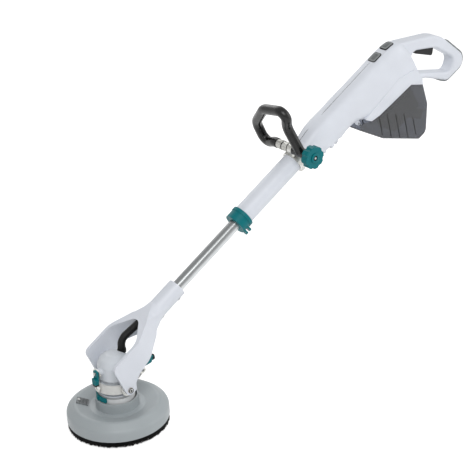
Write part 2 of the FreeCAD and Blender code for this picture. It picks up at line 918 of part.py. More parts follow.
def rotor():
    """Shaft and magnet core of the motor, and its fan."""
    core = rod(d.rotor_radius, d.stator_height, (0, 0, d.stator_base))
    low = d.gear_base + d.free_gap / 2
    shaft = rod(d.motor_shaft_radius - d.shaft_gap, d.dome_shoulder - low, (0, 0, low))
    node("rotor", fuse([core, shaft]), "motor")
    hub = tube(d.motor_shaft_radius * 2.4, d.motor_shaft_radius, d.fan_height, (0, 0, d.fan_base))
    disc = tube(d.fan_radius, d.motor_shaft_radius * 2.4, d.free_gap, (0, 0, d.fan_base))
    blades = []
    for index in range(int(d.fan_blades.value)):
        blade = Part.makeBox(
            d.fan_radius.value - d.motor_shaft_radius.value * 2, d.free_gap.value,
            d.fan_height.value - d.free_gap.value,
            Vector(d.motor_shaft_radius.value * 2, -d.free_gap.value / 2,
                   d.fan_base.value + d.free_gap.value))
        blade.rotate(Vector(), Vector(0, 0, 1), 360.0 * index / d.fan_blades.value)
        feature = doc.addObject("Part::Feature", "Blade")
        feature.Shape = blade
        blades.append(feature)
    node("cooling_fan", fuse([hub, disc] + blades), "motor")


def stator():
    """Laminated stator: a yoke with inward poles."""
    body = new_body("Stator_core")
    yoke = new_sketch(body, "XY_Plane", "stator_yoke", d.stator_base)
    draw_circle(yoke, d.stator_radius)
    draw_circle(yoke, d.stator_radius - d.stator_yoke)
    pad(body, yoke, d.stator_height)
    pole = new_sketch(body, "XY_Plane", "stator_pole", d.stator_base)
    draw_outline(pole, [(d.stator_bore + d.free_gap / 2, -(d.stator_pole_width / 2)),
                        (d.stator_radius - d.stator_yoke / 2, -(d.stator_pole_width / 2)),
                        (d.stator_radius - d.stator_yoke / 2, d.stator_pole_width / 2),
                        (d.stator_bore + d.free_gap / 2, d.stator_pole_width / 2)])
    repeat(body, pad(body, pole, d.stator_height), d.stator_poles)
    node("stator", body, "motor")


def motor_housing():
    """Waist and dome over the motor, with a stator sleeve, a bearing bridge and the roll bosses."""
    wall = d.housing_wall
    foot = d.case_top + wall
    body, turn = turned("Motor_housing_shell", [
        (d.waist_radius - wall, d.case_top),
        (d.case_radius - d.free_gap, d.case_top),
        (d.case_radius - d.free_gap, foot),
        (d.waist_radius, foot),
        (d.waist_radius, d.dome_base - wall * 1.5),
        (d.dome_radius, d.dome_base),
        (d.dome_radius, d.dome_shoulder),
        (d.dome_bend_radius, d.dome_bend_height),
        (d.dome_crown_radius, d.dome_top),
        (0.0, d.dome_top),
        (0.0, d.dome_top - wall),
        (d.dome_crown_radius - wall / 3, d.dome_top - wall),
        (d.dome_bend_radius - wall * 0.8, d.dome_bend_height - wall * 0.7),
        (d.dome_radius - wall, d.dome_shoulder - wall / 3),
        (d.dome_radius - wall, d.dome_base + wall / 3),
        (d.waist_radius - wall, d.dome_base - wall * 1.2),
    ])
    round_edges(body, turn, d.shroud_valley_round, either(
        circle_near(d.dome_radius, d.dome_shoulder),
        circle_near(d.dome_bend_radius, d.dome_bend_height),
        circle_near(d.dome_crown_radius, d.dome_top)))
    sleeve = tube(d.stator_radius + wall / 2, d.stator_radius, d.fan_base - d.case_top,
                  (motor_offset, 0, d.case_top))
    bridge = rod(d.dome_radius - wall / 2, d.motor_bearing_width, (0, 0, bridge_base))
    boss_start = d.waist_radius - wall / 2
    boss_length = d.ring_bore - d.running_gap * 5 - boss_start
    bosses = [rod(d.pin_boss_radius, boss_length, (boss_start, 0, d.pivot_height), "X"),
              rod(d.pin_boss_radius, boss_length, (-(boss_start + boss_length), 0, d.pivot_height),
                  "X")]
    swing_y = d.swing_radius * cosine(d.swing_angle)
    swing_z = d.pivot_height + d.swing_radius * sine(d.swing_angle)
    swing_end = d.ring_radius + d.running_gap * 2
    swing_reach = swing_end - d.dome_radius + wall * 3
    swing_boss = rod(d.lever_hub_radius, swing_reach, (-swing_end, swing_y, swing_z), "X")
    pin_bore = rod(d.pin_radius + d.shaft_gap, 2 * d.ring_radius,
                   (-d.ring_radius, 0, d.pivot_height), "X")
    bearing_seat = rod(d.motor_bearing_radius, d.motor_bearing_width, (motor_offset, 0, bridge_base))
    passage = rod(d.motor_bearing_radius, d.motor_bearing_width * 3,
                  (-motor_offset * 1.5, 0, bridge_base - d.motor_bearing_width))
    swing_bore = rod(d.pin_radius, swing_reach, (-swing_end, swing_y, swing_z), "X")
    inlet = rod(d.gland_radius + d.shaft_gap, d.dome_top, (hose_foot_x(), 0, d.dome_shoulder))
    rotor_space = rod(d.stator_radius, d.stator_height + d.fan_height * 3,
                      (motor_offset, 0, d.stator_base - d.fan_height))
    node("motor_housing", cut(fuse([body, sleeve, bridge, swing_boss] + bosses),
                              [pin_bore, bearing_seat, passage, swing_bore, inlet, rotor_space]))
    bolt_proud = d.lever_hub_thickness * 2 + d.quadrant_thickness + d.free_gap
    node("swing_bolt", rod(d.pin_radius, bolt_proud + swing_reach,
                           (-(swing_end + bolt_proud), swing_y, swing_z), "X"))


def hose_foot_x():
    """Where the hose leaves the dome's top."""
    return d.dome_crown_radius + d.hose_radius * 0.7


rotor()
stator()
motor_housing()


# ================================================================ gimbal

def arc_point(radius, degrees):
    turn = math.radians(degrees)
    return Vector(radius * math.cos(turn), 0, radius * math.sin(turn))


def sector(inner, outer, start, sweep, low, high):
    """A flat arc round the Y axis from y = low to y = high, with angles from +X towards +Z."""
    middle = start + sweep / 2
    end = start + sweep
    edges = [
        Part.Arc(arc_point(outer, start), arc_point(outer, middle), arc_point(outer, end)).toShape(),
        Part.LineSegment(arc_point(outer, end), arc_point(inner, end)).toShape(),
        Part.Arc(arc_point(inner, end), arc_point(inner, middle), arc_point(inner, start)).toShape(),
        Part.LineSegment(arc_point(inner, start), arc_point(outer, start)).toShape(),
    ]
    face = Part.Face(Part.Wire(edges))
    face.translate(Vector(0, low, 0))
    return face.extrude(Vector(0, high - low, 0))


def rounded_sector(radius, half_width, start, sweep, low, high):
    """A flat arc of even width with round ends."""
    shape = sector(radius - half_width, radius + half_width, start, sweep, low, high)
    for degrees in (start, start + sweep):
        centre = arc_point(radius, degrees) + Vector(0, low, 0)
        end = Part.makeCylinder(half_width, high - low, centre, Vector(0, 1, 0))
        shape = shape.fuse(end)
    return shape.removeSplitter()


def quadrant(radius, start, sweep, hub_bore, low, high):
    """Slotted plate on a hub: a rim with an arc slot, joined to the hub by a web."""
    slot_half = d.quadrant_slot.value / 2
    rim = rounded_sector(radius, d.quadrant_width.value / 2, start, sweep, low, high)
    hub_outer = hub_bore + d.quadrant_slot.value * 0.6
    web = sector(hub_bore, radius, start, min(sweep, 24.0), low, high)
    hub = Part.makeCylinder(hub_outer, high - low, Vector(0, low, 0), Vector(0, 1, 0))
    plate = rim.fuse([web, hub])
    plate = plate.cut(rounded_sector(radius, slot_half, start, sweep, low - 1, high + 1))
    return plate.cut(Part.makeCylinder(hub_bore, high - low + 2, Vector(0, low - 1, 0),
                                       Vector(0, 1, 0)))


arm_inner = d.arm_centre - d.arm_thickness / 2
arm_outer = d.arm_centre + d.arm_thickness / 2


def gimbal_ring():
    """Ring between fork and head, bossed for the pitch bolts and bored for the roll pins."""
    half = d.ring_height / 2
    band = rod(d.ring_radius, d.ring_height, (0, 0, -half))
    boss_end = arm_inner - d.running_gap
    boss = rod(d.pitch_boss_radius, boss_end * 2, (0, -boss_end, 0), "Y")
    flat = block((d.pitch_boss_radius * 2, boss_end * 2, d.ring_height), (0, 0, -half))
    lugs = doc.addObject("Part::MultiCommon", "Lugs")
    lugs.Shapes = [boss, flat]
    inside = rod(d.ring_bore, d.ring_height * 2, (0, 0, -d.ring_height))
    bolt_hole = rod(d.pin_radius, boss_end * 2, (0, -boss_end, 0), "Y")
    pin_hole = rod(d.pin_radius, d.ring_radius * 2, (-d.ring_radius, 0, 0), "X")
    node("gimbal_ring", cut(fuse([band, lugs]), [inside, bolt_hole, pin_hole]), "pivot")


def gimbal_pins():
    """Roll pins, from outside the ring into the head's bosses, and the pitch bolts."""
    length = d.ring_radius - d.waist_radius + d.housing_wall
    head = d.bolt_head_height * 0.7
    pins = []
    for side, start, head_start in (
            (1, d.waist_radius - d.housing_wall, d.ring_radius),
            (-1, -d.ring_radius, -(d.ring_radius + head))):
        pins.append(fuse([rod(d.pin_radius, length, (start, 0, 0), "X"),
                          rod(d.bolt_head_radius, head, (head_start, 0, 0), "X")]))
    node("roll_pins", group(pins), "pivot")
    bolts = []
    shank_start = d.ring_bore + d.running_gap * 4
    shank_end = arm_outer + d.running_gap
    socket = d.pin_radius * 0.8
    for side in (1, -1):
        low = shank_start if side > 0 else -shank_end
        head_low = shank_end if side > 0 else -(shank_end + d.bolt_head_height)
        key_low = (shank_end + d.bolt_head_height / 2 if side > 0
                   else -(shank_end + d.bolt_head_height))
        bolts.append(cut(fuse([rod(d.pin_radius, shank_end - shank_start, (0, low, 0), "Y"),
                               rod(d.bolt_head_radius, d.bolt_head_height, (0, head_low, 0), "Y")]),
                         [rod(socket, d.bolt_head_height / 2, (0, key_low, 0), "Y")]))
    node("pitch_bolts", group(bolts), "pivot")


def quadrants():
    """Slotted plates in which the two lock bolts slide."""
    margin = 2.0
    pitch_start = d.tilt_bolt_angle.value + d.pole_angle.value - d.pitch_down.value - margin
    pitch_sweep = d.pitch_down.value + d.pitch_up.value + 2 * margin
    high = -(arm_inner.value - d.running_gap.value)
    tilt_plate = quadrant(d.quadrant_radius.value, pitch_start, pitch_sweep,
                          d.pitch_boss_radius.value, high, high + d.quadrant_thickness.value)
    swing_start = d.swing_angle.value - d.swing_travel.value - margin
    swing_sweep = 2 * (d.swing_travel.value + margin)
    low = d.ring_radius.value + d.running_gap.value * 3
    plate = quadrant(d.swing_radius.value, swing_start, swing_sweep,
                     d.bolt_head_radius.value + d.running_gap.value,
                     low, low + d.quadrant_thickness.value)
    plate.rotate(Vector(), Vector(0, 0, 1), 90)
    fixed_node("lock_quadrants", Part.makeCompound([tilt_plate, plate]), "pivot")


gimbal_ring()
gimbal_pins()
quadrants()


# ================================================================ lock levers

def lever_shape(length, width, hub_thickness, bore):
    """A lever along +X from a hub round Y: hub on y = 0, thicker beyond the hub."""
    hub_radius = d.lever_hub_radius.value
    half = width / 2
    hub = Part.makeCylinder(hub_radius, hub_thickness, Vector(), Vector(0, 1, 0))
    thick_start = hub_radius + d.free_gap.value * 4
    neck = Part.makeBox(thick_start + half, hub_thickness, 2 * half, Vector(0, 0, -half))
    arm = slab([(thick_start, -half, 2), (length, -half * 0.8, half * 0.7),
                (length, half * 0.8, half * 0.7), (thick_start, half, 2)],
               0, d.lever_thickness.value)
    lever = hub.fuse([neck, arm])
    return lever.cut(Part.makeCylinder(bore, 4 * hub_thickness, Vector(0, -1, 0), Vector(0, 1, 0)))


def tilt_lever():
    """Lever that locks the pitch, inside the near arm of the fork."""
    spot = tilt_bolt_spot()
    shape = lever_shape(d.lever_length.value, d.lever_width.value, d.lever_hub_thickness.value,
                        d.pin_radius.value + d.shaft_gap.value)
    shape.rotate(Vector(), Vector(0, 1, 0), d.tilt_lever_angle.value)
    inner_face = -(arm_inner - d.running_gap * 2 - d.quadrant_thickness)
    shape.translate(Vector(spot.x, inner_face.value, spot.z))
    fixed_node("tilt_lever", shape, "pole")


def tilt_bolt_spot():
    """The pitch lock's bolt in the pole's frame."""
    return Vector((d.quadrant_radius * cosine(d.tilt_bolt_angle)).value, 0,
                  (d.quadrant_radius * sine(d.tilt_bolt_angle) - d.axis_offset).value)


def swing_lever():
    """Lever that locks the roll, hanging in front of the gimbal ring."""
    face = d.ring_radius.value + d.running_gap.value * 4 + d.quadrant_thickness.value
    swing_y = d.swing_radius.value * math.cos(math.radians(d.swing_angle.value))
    swing_z = d.swing_radius.value * math.sin(math.radians(d.swing_angle.value))
    shape = lever_shape(d.swing_lever_length.value, d.swing_lever_width.value,
                        d.lever_hub_thickness.value, d.pin_radius.value + d.shaft_gap.value)
    shape.rotate(Vector(), Vector(0, 1, 0), 90)
    shape.rotate(Vector(), Vector(0, 0, 1), 90)
    shape.translate(Vector(-face, swing_y, swing_z))
    fixed_node("swing_lever", shape, "pivot")


def guard_catch():
    """Arc-shaped catch that turns on the gear case to free the shroud."""
    inner = d.case_radius.value + d.running_gap.value
    start = d.catch_middle.value - d.catch_span.value / 2
    low = d.catch_base.value
    high = low + d.catch_height.value
    arc = sector(inner, d.catch_radius.value, start, d.catch_span.value, low, high)
    tab = sector(inner, d.catch_radius.value + d.free_gap.value * 2, d.catch_middle.value - 5, 10,
                 low, high)
    arc = arc.fuse(tab).removeSplitter()
    arc.rotate(Vector(), Vector(1, 0, 0), 90)
    arc = arc.mirror(Vector(), Vector(0, 1, 0))
    fixed_node("guard_catch", arc)


tilt_lever()
swing_lever()
guard_catch()


# ================================================================ fork

def plan_slab(corners, reach):
    """A closed outline in the XY plane, as thick as reach above and below it."""
    solid = slab(corners, -reach, reach)
    solid.rotate(Vector(), Vector(1, 0, 0), 90)
    return solid


def lying(radius, length, u, y, w=0.0, axis=(1, 0, 0)):
    """A plain round bar from a point of the pole's frame."""
    return Part.makeCylinder(float(radius), float(length), Vector(float(u), float(y), float(w)),
                             Vector(*axis))


def fork_shapes():
    """Fork with its arms and socket, and the cover under the socket."""
    pivot_w = -d.axis_offset.value
    outer = arm_outer.value
    inner = arm_inner.value
    socket = d.socket_radius.value
    bend = d.fork_bend.value
    crotch = d.fork_crotch.value
    reach = d.fork_reach.value
    lug = d.lug_radius.value
    end = d.socket_end.value
    side = slab([(-lug, pivot_w - lug, 12), (lug, pivot_w - lug, 9), (lug * 1.6, -socket * 2.3, 14),
                 (bend / 2, -socket * 1.85, 25), (bend + 22, -socket * 1.35, 60),
                 (reach - 27, -socket - 1, 60), (end, -socket - 1, 0),
                 (end, socket + 1, 0), (-lug / 8, socket + 1, 16)], -outer, outer)
    plan = plan_slab([(-2 * lug, outer, 0), (bend, outer, 50), (reach - 42, socket * 1.15, 60),
                      (reach, socket + 1, 0), (end, socket + 1, 0), (end, -socket - 1, 0),
                      (reach, -socket - 1, 0), (reach - 42, -socket * 1.15, 60), (bend, -outer, 50),
                      (-2 * lug, -outer, 0)], 2 * outer)
    valley = plan_slab([(-3 * lug, inner, 0), (bend - 3, inner, 45), (crotch + 9, 0, 20),
                        (bend - 3, -inner, 45), (-3 * lug, -inner, 0)], 2 * outer)
    envelope = Part.Face(Part.makePolygon([
        Vector(-3 * lug, 0, 0), Vector(-3 * lug, 0, 3 * outer), Vector(bend, 0, socket * 3.8),
        Vector(reach - 42, 0, socket * 1.48), Vector(reach - 20, 0, socket * 1.15),
        Vector(reach, 0, socket), Vector(end, 0, socket), Vector(end, 0, 0), Vector(-3 * lug, 0, 0)]))
    envelope = envelope.revolve(Vector(), Vector(1, 0, 0), 360)
    body = side.common(plan).common(envelope).cut(valley)
    cavity_start = crotch + 3 * d.arm_thickness.value
    cavity = lying(socket - d.fork_wall.value - 2, d.inner_start.value - cavity_start,
                   cavity_start, 0)
    bore = lying(d.inner_radius.value + d.shaft_gap.value, end, d.inner_start.value, 0)
    body = body.cut([cavity, bore])
    low = Part.makeBox(2 * end, 4 * socket, 3 * socket,
                       Vector(cavity_start, -2 * socket, -d.cover_split.value - 3 * socket))
    cover = body.common(low)
    body = body.cut(low)
    return body, cover


def screw_place(index):
    """Where each screw of the fork's cover stands: two along the socket, one on each side."""
    first = d.inner_start.value - d.fork_screw_inset.value
    last = d.socket_end.value - d.fork_screw_inset.value
    return (first, last)[index // 2], (1, -1)[index % 2] * d.fork_screw_spread.value


def fork():
    body, cover = fork_shapes()
    screw = d.fork_screw_radius.value
    head = screw * 1.7
    seat = -d.cover_split.value - d.fork_wall.value
    screws = []
    for index in range(4):
        u, y = screw_place(index)
        cover = cover.cut([lying(screw, 40, u, y, -30, (0, 0, 1)),
                           lying(head, 40, u, y, seat - 40, (0, 0, 1))])
        body = body.cut(lying(screw, 4 * d.fork_wall.value, u, y, -d.cover_split.value, (0, 0, 1)))
        screws.append(lying(head, d.fork_wall.value, u, y, seat - d.fork_wall.value, (0, 0, 1)).fuse(
            lying(screw, 4 * d.fork_wall.value, u, y, seat, (0, 0, 1))))
    pivot_w = -d.axis_offset.value
    bushes = []
    for side in (1, -1):
        start = min(side * arm_inner.value, side * arm_outer.value)
        hole = lying(d.bush_radius, d.arm_thickness, 0, start, pivot_w, (0, 1, 0))
        pin = lying(d.pin_radius + d.shaft_gap, d.arm_thickness, 0, start, pivot_w, (0, 1, 0))
        body = body.cut(hole)
        bushes.append(hole.cut(pin))
    bolt = tilt_bolt_spot()
    bolt_low = -(arm_inner.value + d.arm_thickness.value / 2)
    bolt_end = -arm_inner + d.running_gap * 2 + d.quadrant_thickness + d.lever_hub_thickness + d.free_gap
    tilt_bolt = lying(d.pin_radius, bolt_end.value - bolt_low, bolt.x, bolt_low, bolt.z, (0, 1, 0))
    body = body.cut(tilt_bolt)
    body = carve(body, [hose_gland_shape("bore"), hose_gland_shape("path")])
    fixed_node("fork", body, "pole")
    fixed_node("fork_cover", cover, "pole")
    fixed_node("fork_bolts", Part.makeCompound(screws + [tilt_bolt]), "pole")
    fixed_node("pitch_bushes", Part.makeCompound(bushes), "pole")


# ================================================================ dust hose

def hose_corner():
    """The hose's bend in the head's XZ plane: its foot, its corner, and its upper end."""
    foot = Vector(hose_foot_x().value, 0, d.dome_top.value - d.hose_sink.value)
    end = d.hose_end_along.value
    rise = d.hose_end_rise.value
    upper = frame_placement("pole").multVec(Vector(end, 0, rise))
    return foot, Vector(foot.x, 0, foot.z + d.hose_rise.value), upper


def hose_gland_shape(kind):
    """The clamp ring where the hose enters the fork's crotch, or the hole for it."""
    foot, corner, upper = hose_corner()
    pose = frame_placement("pole").inverse()
    start = pose.multVec(upper)
    way = (start - pose.multVec(corner)).normalize()
    length = d.gland_length.value
    outer = Part.makeCylinder(d.gland_radius.value, length, start - way * (length / 3), way)
    if kind == "bore":
        return Part.makeCylinder(d.gland_radius.value, 2 * length, start - way * (length / 3), way)
    if kind == "path":
        return Part.makeCylinder(d.hose_radius.value + d.running_gap.value, 3 * length,
                                 start - way * (3 * length), way)
    inner = Part.makeCylinder(d.hose_radius.value + d.shaft_gap.value, 2 * length,
                              start - way * length, way)
    return outer.cut(inner)


def hose():
    """Dust hose from the dome to the fork, in two lengths that meet above the dome."""
    foot, corner, upper = hose_corner()
    radius = d.hose_bend_radius.value
    back = (foot - corner).normalize()
    ahead = (upper - corner).normalize()
    half = back.getAngle(ahead) / 2
    tangent = radius / math.tan(half)
    first = corner + back * tangent
    last = corner + ahead * tangent
    middle_way = (back + ahead).normalize()
    middle = corner + middle_way * (radius / math.sin(half) - radius)
    lower_arc = Part.Arc(first, middle, last)
    parameter = (lower_arc.FirstParameter + lower_arc.LastParameter) / 2
    low = lower_arc.toShape()
    circle = low.Curve
    lower = Part.Wire([Part.LineSegment(foot, first).toShape(),
                       circle.toShape(low.FirstParameter, parameter)])
    higher = Part.Wire([circle.toShape(parameter, low.LastParameter),
                        Part.LineSegment(last, upper).toShape()])
    fixed_node("hose_lower", pipe(lower, d.hose_radius.value))
    fixed_node("hose_upper", pipe(higher, d.hose_radius.value))
    ring = Part.makeCylinder(d.gland_radius.value, d.gland_length.value,
                             foot - Vector(0, 0, 2 * d.running_gap.value))
    bore = Part.makeCylinder(d.hose_radius.value + d.shaft_gap.value, 2 * d.gland_length.value,
                             foot - Vector(0, 0, d.gland_length.value / 2))
    fixed_node("hose_gland", ring.cut(bore))
    fixed_node("fork_gland", hose_gland_shape("ring"), "pole")


fork()
hose()


# ================================================================ pole and its collar

def pole():
    """The two tubes, the rings that guide one in the other, and the twist collar."""
    length = d.inner_end - d.inner_start
    node("inner_tube", tube(d.inner_radius, d.inner_radius - d.inner_wall, length,
                            (d.inner_start, 0, 0), "X"), "pole")
    bore = d.outer_radius - d.outer_wall
    node("inner_guide", tube(bore - d.shaft_gap * 2, d.inner_radius, d.guide_length,
                             (d.inner_end - d.guide_length, 0, 0), "X"), "pole")
    node("outer_tube", tube(d.outer_radius, bore, d.outer_end - d.outer_start,
                            (d.outer_start, 0, 0), "X"), "pole")
    node("tube_bush", tube(bore - d.shaft_gap, d.inner_radius + d.shaft_gap, d.guide_length,
                           (d.outer_start, 0, 0), "X"), "pole")


def collar():
    """Twist collar over the joint of the tubes, with two ears for the fingers."""
    start = d.collar_start.value
    length = d.collar_length.value
    rim_start = start + length - d.collar_rim_width.value
    solid = lying(d.collar_radius, length, start, 0).fuse(
        lying(d.collar_rim_radius, d.collar_rim_width, rim_start, 0))
    reach = d.collar_ear_reach.value
    half = d.collar_ear_width.value
    ear = slab([(-half * 1.6, 0, 0.5), (half * 1.6, 0, 0.5), (half * 1.6, reach, half),
                (-half * 1.6, reach, half)], 0, half)
    ear.rotate(Vector(), Vector(0, 0, 1), -90)
    ear.rotate(Vector(), Vector(1, 0, 0), d.collar_ear_turn.value)
    for offset in (d.running_gap.value * 6, d.running_gap.value * 6 + half + d.collar_ear_gap.value):
        copy = ear.copy()
        copy.translate(Vector(start + offset, 0, 0))
        solid = solid.fuse(copy)
    seat = d.outer_start.value - d.running_gap.value
    solid = solid.cut(lying(d.inner_radius.value + d.running_gap.value, 2 * length, start - length, 0))
    solid = solid.cut(lying(d.outer_radius.value + d.shaft_gap.value, length, seat, 0))
    fixed_node("collar", solid, "pole")


pole()
collar()


# ================================================================ front handle

def across(radius, start, end):
    """A round bar on the handle's cross axis, from y = start to y = end."""
    return lying(radius, end - start, d.grip_pivot_u, start, d.grip_pivot_rise, (0, 1, 0))


def grip_clamp():
    """Band on the outer tube, with the lug that carries the handle's bolt."""
    u = d.grip_pivot_u.value
    width = d.clamp_width.value
    outer = d.outer_radius.value + d.clamp_wall.value
    solid = lying(outer, width, u - width / 2, 0)
    lug_low = d.clamp_lug_start.value
    lug_high = lug_low + d.clamp_lug_width.value
    hub = d.handle_hub_radius.value
    rise = d.grip_pivot_rise.value
    lug = Part.makeBox(2 * hub, lug_high - lug_low, rise, Vector(u - hub, lug_low, 0))
    solid = solid.fuse([lug, across(hub, lug_low, lug_high)])
    ear = Part.makeBox(width / 2, 2 * d.clamp_wall.value, outer + 3 * d.clamp_wall.value,
                       Vector(u - width / 4, -d.clamp_wall.value, -outer - 3 * d.clamp_wall.value))
    solid = solid.fuse(ear)
    clear = d.running_gap.value
    solid = solid.cut([
        lying(d.outer_radius, 2 * width, u - width, 0),
        across(d.handle_bolt_radius.value + d.shaft_gap.value, lug_low - 1, lug_high + 1),
        across(d.ferrule_radius.value + clear, lug_high, lug_high + 99),
        across(hub + clear, lug_low - 99, lug_low),
        Part.makeBox(width, 2 * clear, outer * 2, Vector(u - width / 2, -clear, -3 * outer))])
    screw_w = -outer - 1.5 * d.clamp_wall.value
    screw = lying(d.screw_radius, 3 * d.clamp_wall.value, u, -1.5 * d.clamp_wall.value, screw_w,
                  (0, 1, 0))
    head = lying(1.7 * d.screw_radius, d.clamp_wall, u, -2 * d.clamp_wall, screw_w, (0, 1, 0))
    solid = solid.cut(screw)
    fixed_node("grip_clamp", solid, "pole")
    return lug_low, lug_high, screw.fuse(head)


def loop_handle(lug_low, lug_high):
    """Loop of round bar, which swings about the cross axis and straddles the pole."""
    clear = d.running_gap.value
    u = d.grip_pivot_u.value
    w = d.grip_pivot_rise.value
    bar = d.bar_radius.value
    half = d.loop_half_width.value
    top = w + d.loop_height.value
    lean = d.loop_lean.value
    far = lug_high + clear + 2 * d.ferrule_length.value + 2
    route = rounded_path(
        [Vector(u, far, w), Vector(u, far + 14, w), Vector(u, half + 33, w - 19),
         Vector(u + lean * 0.4, half + 37, top - 76),
         Vector(u + lean * 0.85, half - 23, top - 16), Vector(u + lean, 27 - half, top + 4),
         Vector(u + lean * 0.6, 51 - half, top - 50), Vector(u - 3, 26 - half, w + 6)],
        [20, 20, 40, 45, 17, 40])
    near_end = lug_low - clear - d.handle_hub_length.value
    grip = pipe(route, bar)
    hub = across(d.handle_hub_radius, near_end, near_end + d.handle_eye_length.value)
    spacer = across(d.handle_hub_radius, near_end + d.handle_eye_length.value, lug_low - clear)
    grip = grip.fuse([hub, spacer])
    grip = grip.cut([across(99, near_end - 99, near_end),
                     across(d.handle_bolt_radius, near_end, far + d.ferrule_length.value)])
    fixed_node("loop_handle", grip, "pole")
    ferrules = []
    for start in (lug_high + clear, lug_high + clear + d.ferrule_length.value + 2):
        ferrule = across(d.ferrule_radius, start, start + d.ferrule_length.value)
        ferrules.append(ferrule.cut(across(d.handle_bolt_radius, start, start + 99)))
    middle = across(d.ferrule_radius * 0.7, lug_high + clear + d.ferrule_length.value,
                    lug_high + clear + d.ferrule_length.value + 2)
    middle = middle.cut(across(d.handle_bolt_radius, 0, 99))
    fixed_node("handle_ferrules", ferrules[0].fuse([middle, ferrules[1]]), "pole")
    knob_face = near_end - d.running_gap.value
    bolt_start = knob_face - d.knob_width.value + d.knob_hub_depth.value + clear
    bolt_end = far + d.ferrule_length.value
    fixed_node("handle_bolt", across(d.handle_bolt_radius, bolt_start, bolt_end), "pole")
    return knob_face


def clamp_knob(face):
    """Lobed knob on the handle's bolt, with a dark hub and a bright cap."""
    radius = d.knob_radius.value
    end = face - d.knob_width.value
    knob = across(radius, end, face)
    lobe = d.knob_lobe_radius.value
    scallops = []
    for index in range(int(d.knob_lobes.value)):
        scallop = across(lobe, end, face)
        scallop.translate(Vector(radius + lobe * 0.7, 0, 0))
        scallop.rotate(Vector(d.grip_pivot_u.value, 0, d.grip_pivot_rise.value), Vector(0, 1, 0),
                       360.0 * index / d.knob_lobes.value)
        scallops.append(scallop)
    knob = knob.cut(scallops)
    hub_end = end + d.knob_hub_depth.value
    hub = across(d.ferrule_radius, end - d.running_gap.value * 3, hub_end)
    knob = knob.cut([across(d.ferrule_radius, end - 1, hub_end),
                     across(d.handle_bolt_radius.value + d.shaft_gap.value, hub_end, face + 1)])
    cap = across(d.handle_bolt_radius * 1.3, end - d.running_gap.value * 6, end)
    fixed_node("clamp_knob", knob, "pole")
    fixed_node("knob_hub", hub.fuse(cap), "pole")


lug_start, lug_end, clamp_screw = grip_clamp()
clamp_knob(loop_handle(lug_start, lug_end))


# ================================================================ rear housing

def station(u, top, bottom, half_width, square=3.2):
    """A cross-section of the housing's hull."""
    centre = Vector(float(u), 0, (float(top) + float(bottom)) / 2)
    return soft_section(centre, (float(top) - float(bottom)) / 2, float(half_width), (1, 0, 0), square)


def hull_shape(inset, first, last):
    """The housing's hull from the nose to the root of the grip, drawn in by inset."""
    start = d.body_start.value
    top = d.body_top.value
    nose = d.nose_radius.value
    wide = d.body_half_width.value
    belly = d.belly_depth.value
    deep = d.belly_drop.value
    stations = [
        (0, nose, -nose, nose, 2.0),
        (14, nose + 1, -nose - 1, nose + 1, 2.1),
        (47, top, -belly, wide - 1, 3.0),
        (112, top, -belly - 2.5, wide - 0.5, 3.2),
        (167, top, -belly - 5, wide, 3.2),
        (207, top, -deep + 8, wide + 0.5, 3.2),
        (262, top, -deep, wide + 0.5, 3.2),
        (322, top, -deep - 4, wide + 0.5, 3.2),
        (357, top - 1.5, -deep - 10, wide - 0.5, 3.2),
        (387, top - 10.5, -deep - 36, wide - 2.5, 3.2),
        (400, top - 26.5, -deep - 42, wide - 7.5, 3.0),
    ]
    return skin([station(start + u, high - inset, low + inset, half - inset, square)
                 for u, high, low, half, square in stations[first:last]])


def grip_outline():
    """Corners of the D-shaped grip, from the hull round to the hull again."""
    start = d.body_start.value
    top = d.body_top.value
    return [(start + 292, top - 0.7, 0.5), (start + 370, top - 0.7, 120), (start + 512, top - 94.5, 110),
            (start + 565, top - 236.5, 28), (start + 474, top - 233, 24),
            (start + 417, top - 168.5, 30), (start + 372, top - 136, 20), (start + 292, top - 96, 0.5)]


def opening_outline():
    """Corners of the grip's opening for the hand."""
    start = d.body_start.value
    top = d.body_top.value
    return [(start + 402, top - 56.5, 18), (start + 484, top - 118.5, 60),
            (start + 524, top - 194.5, 18), (start + 494, top - 218.5, 18),
            (start + 398, top - 130.5, 20)]


def grip_solid(half_width, rounding):
    """The grip as a solid with soft edges, and its opening cut through."""
    face = Part.Face(rounded_outline(grip_outline()))
    face = face.cut(Part.Face(rounded_outline(opening_outline())))
    face = face.Faces[0]
    face.translate(Vector(0, -half_width, 0))
    solid = face.extrude(Vector(0, 2 * half_width, 0))
    flat = [edge for edge in solid.Edges
            if abs(edge.BoundBox.YLength) < 1e-6 and abs(abs(edge.BoundBox.YMin) - half_width) < 1e-6]
    return solid.makeFillet(rounding, flat)


def cover_outline():
    """Corners of the battery cover, seen from the side."""
    start = d.body_start.value
    deep = d.belly_drop.value
    depth = d.cover_depth.value
    return [(start + 165, -d.belly_depth.value - 5, 1), (start + 159.5, -d.belly_depth.value - 25, 3),
            (start + 207, -deep - 63, 10), (start + 302, -deep - depth + 1, 8),
            (start + 332, -deep - depth, 20), (start + 376, -deep - depth + 67, 30),
            (start + 389, -deep - 38, 2), (start + 356, -deep - 7, 4), (start + 231, -deep + 2, 4),
            (start + 201, -deep + 9, 4)]


def cover_body_outline():
    """The cover's outline carried on upward past its open edge."""
    start = d.body_start.value
    deep = d.belly_drop.value
    depth = d.cover_depth.value
    return [(start + 127.5, -20, 0), (start + 207, -deep - 63, 10), (start + 302, -deep - depth + 1, 8),
            (start + 332, -deep - depth, 20), (start + 376, -deep - depth + 67, 30),
            (start + 413, -20, 0)]


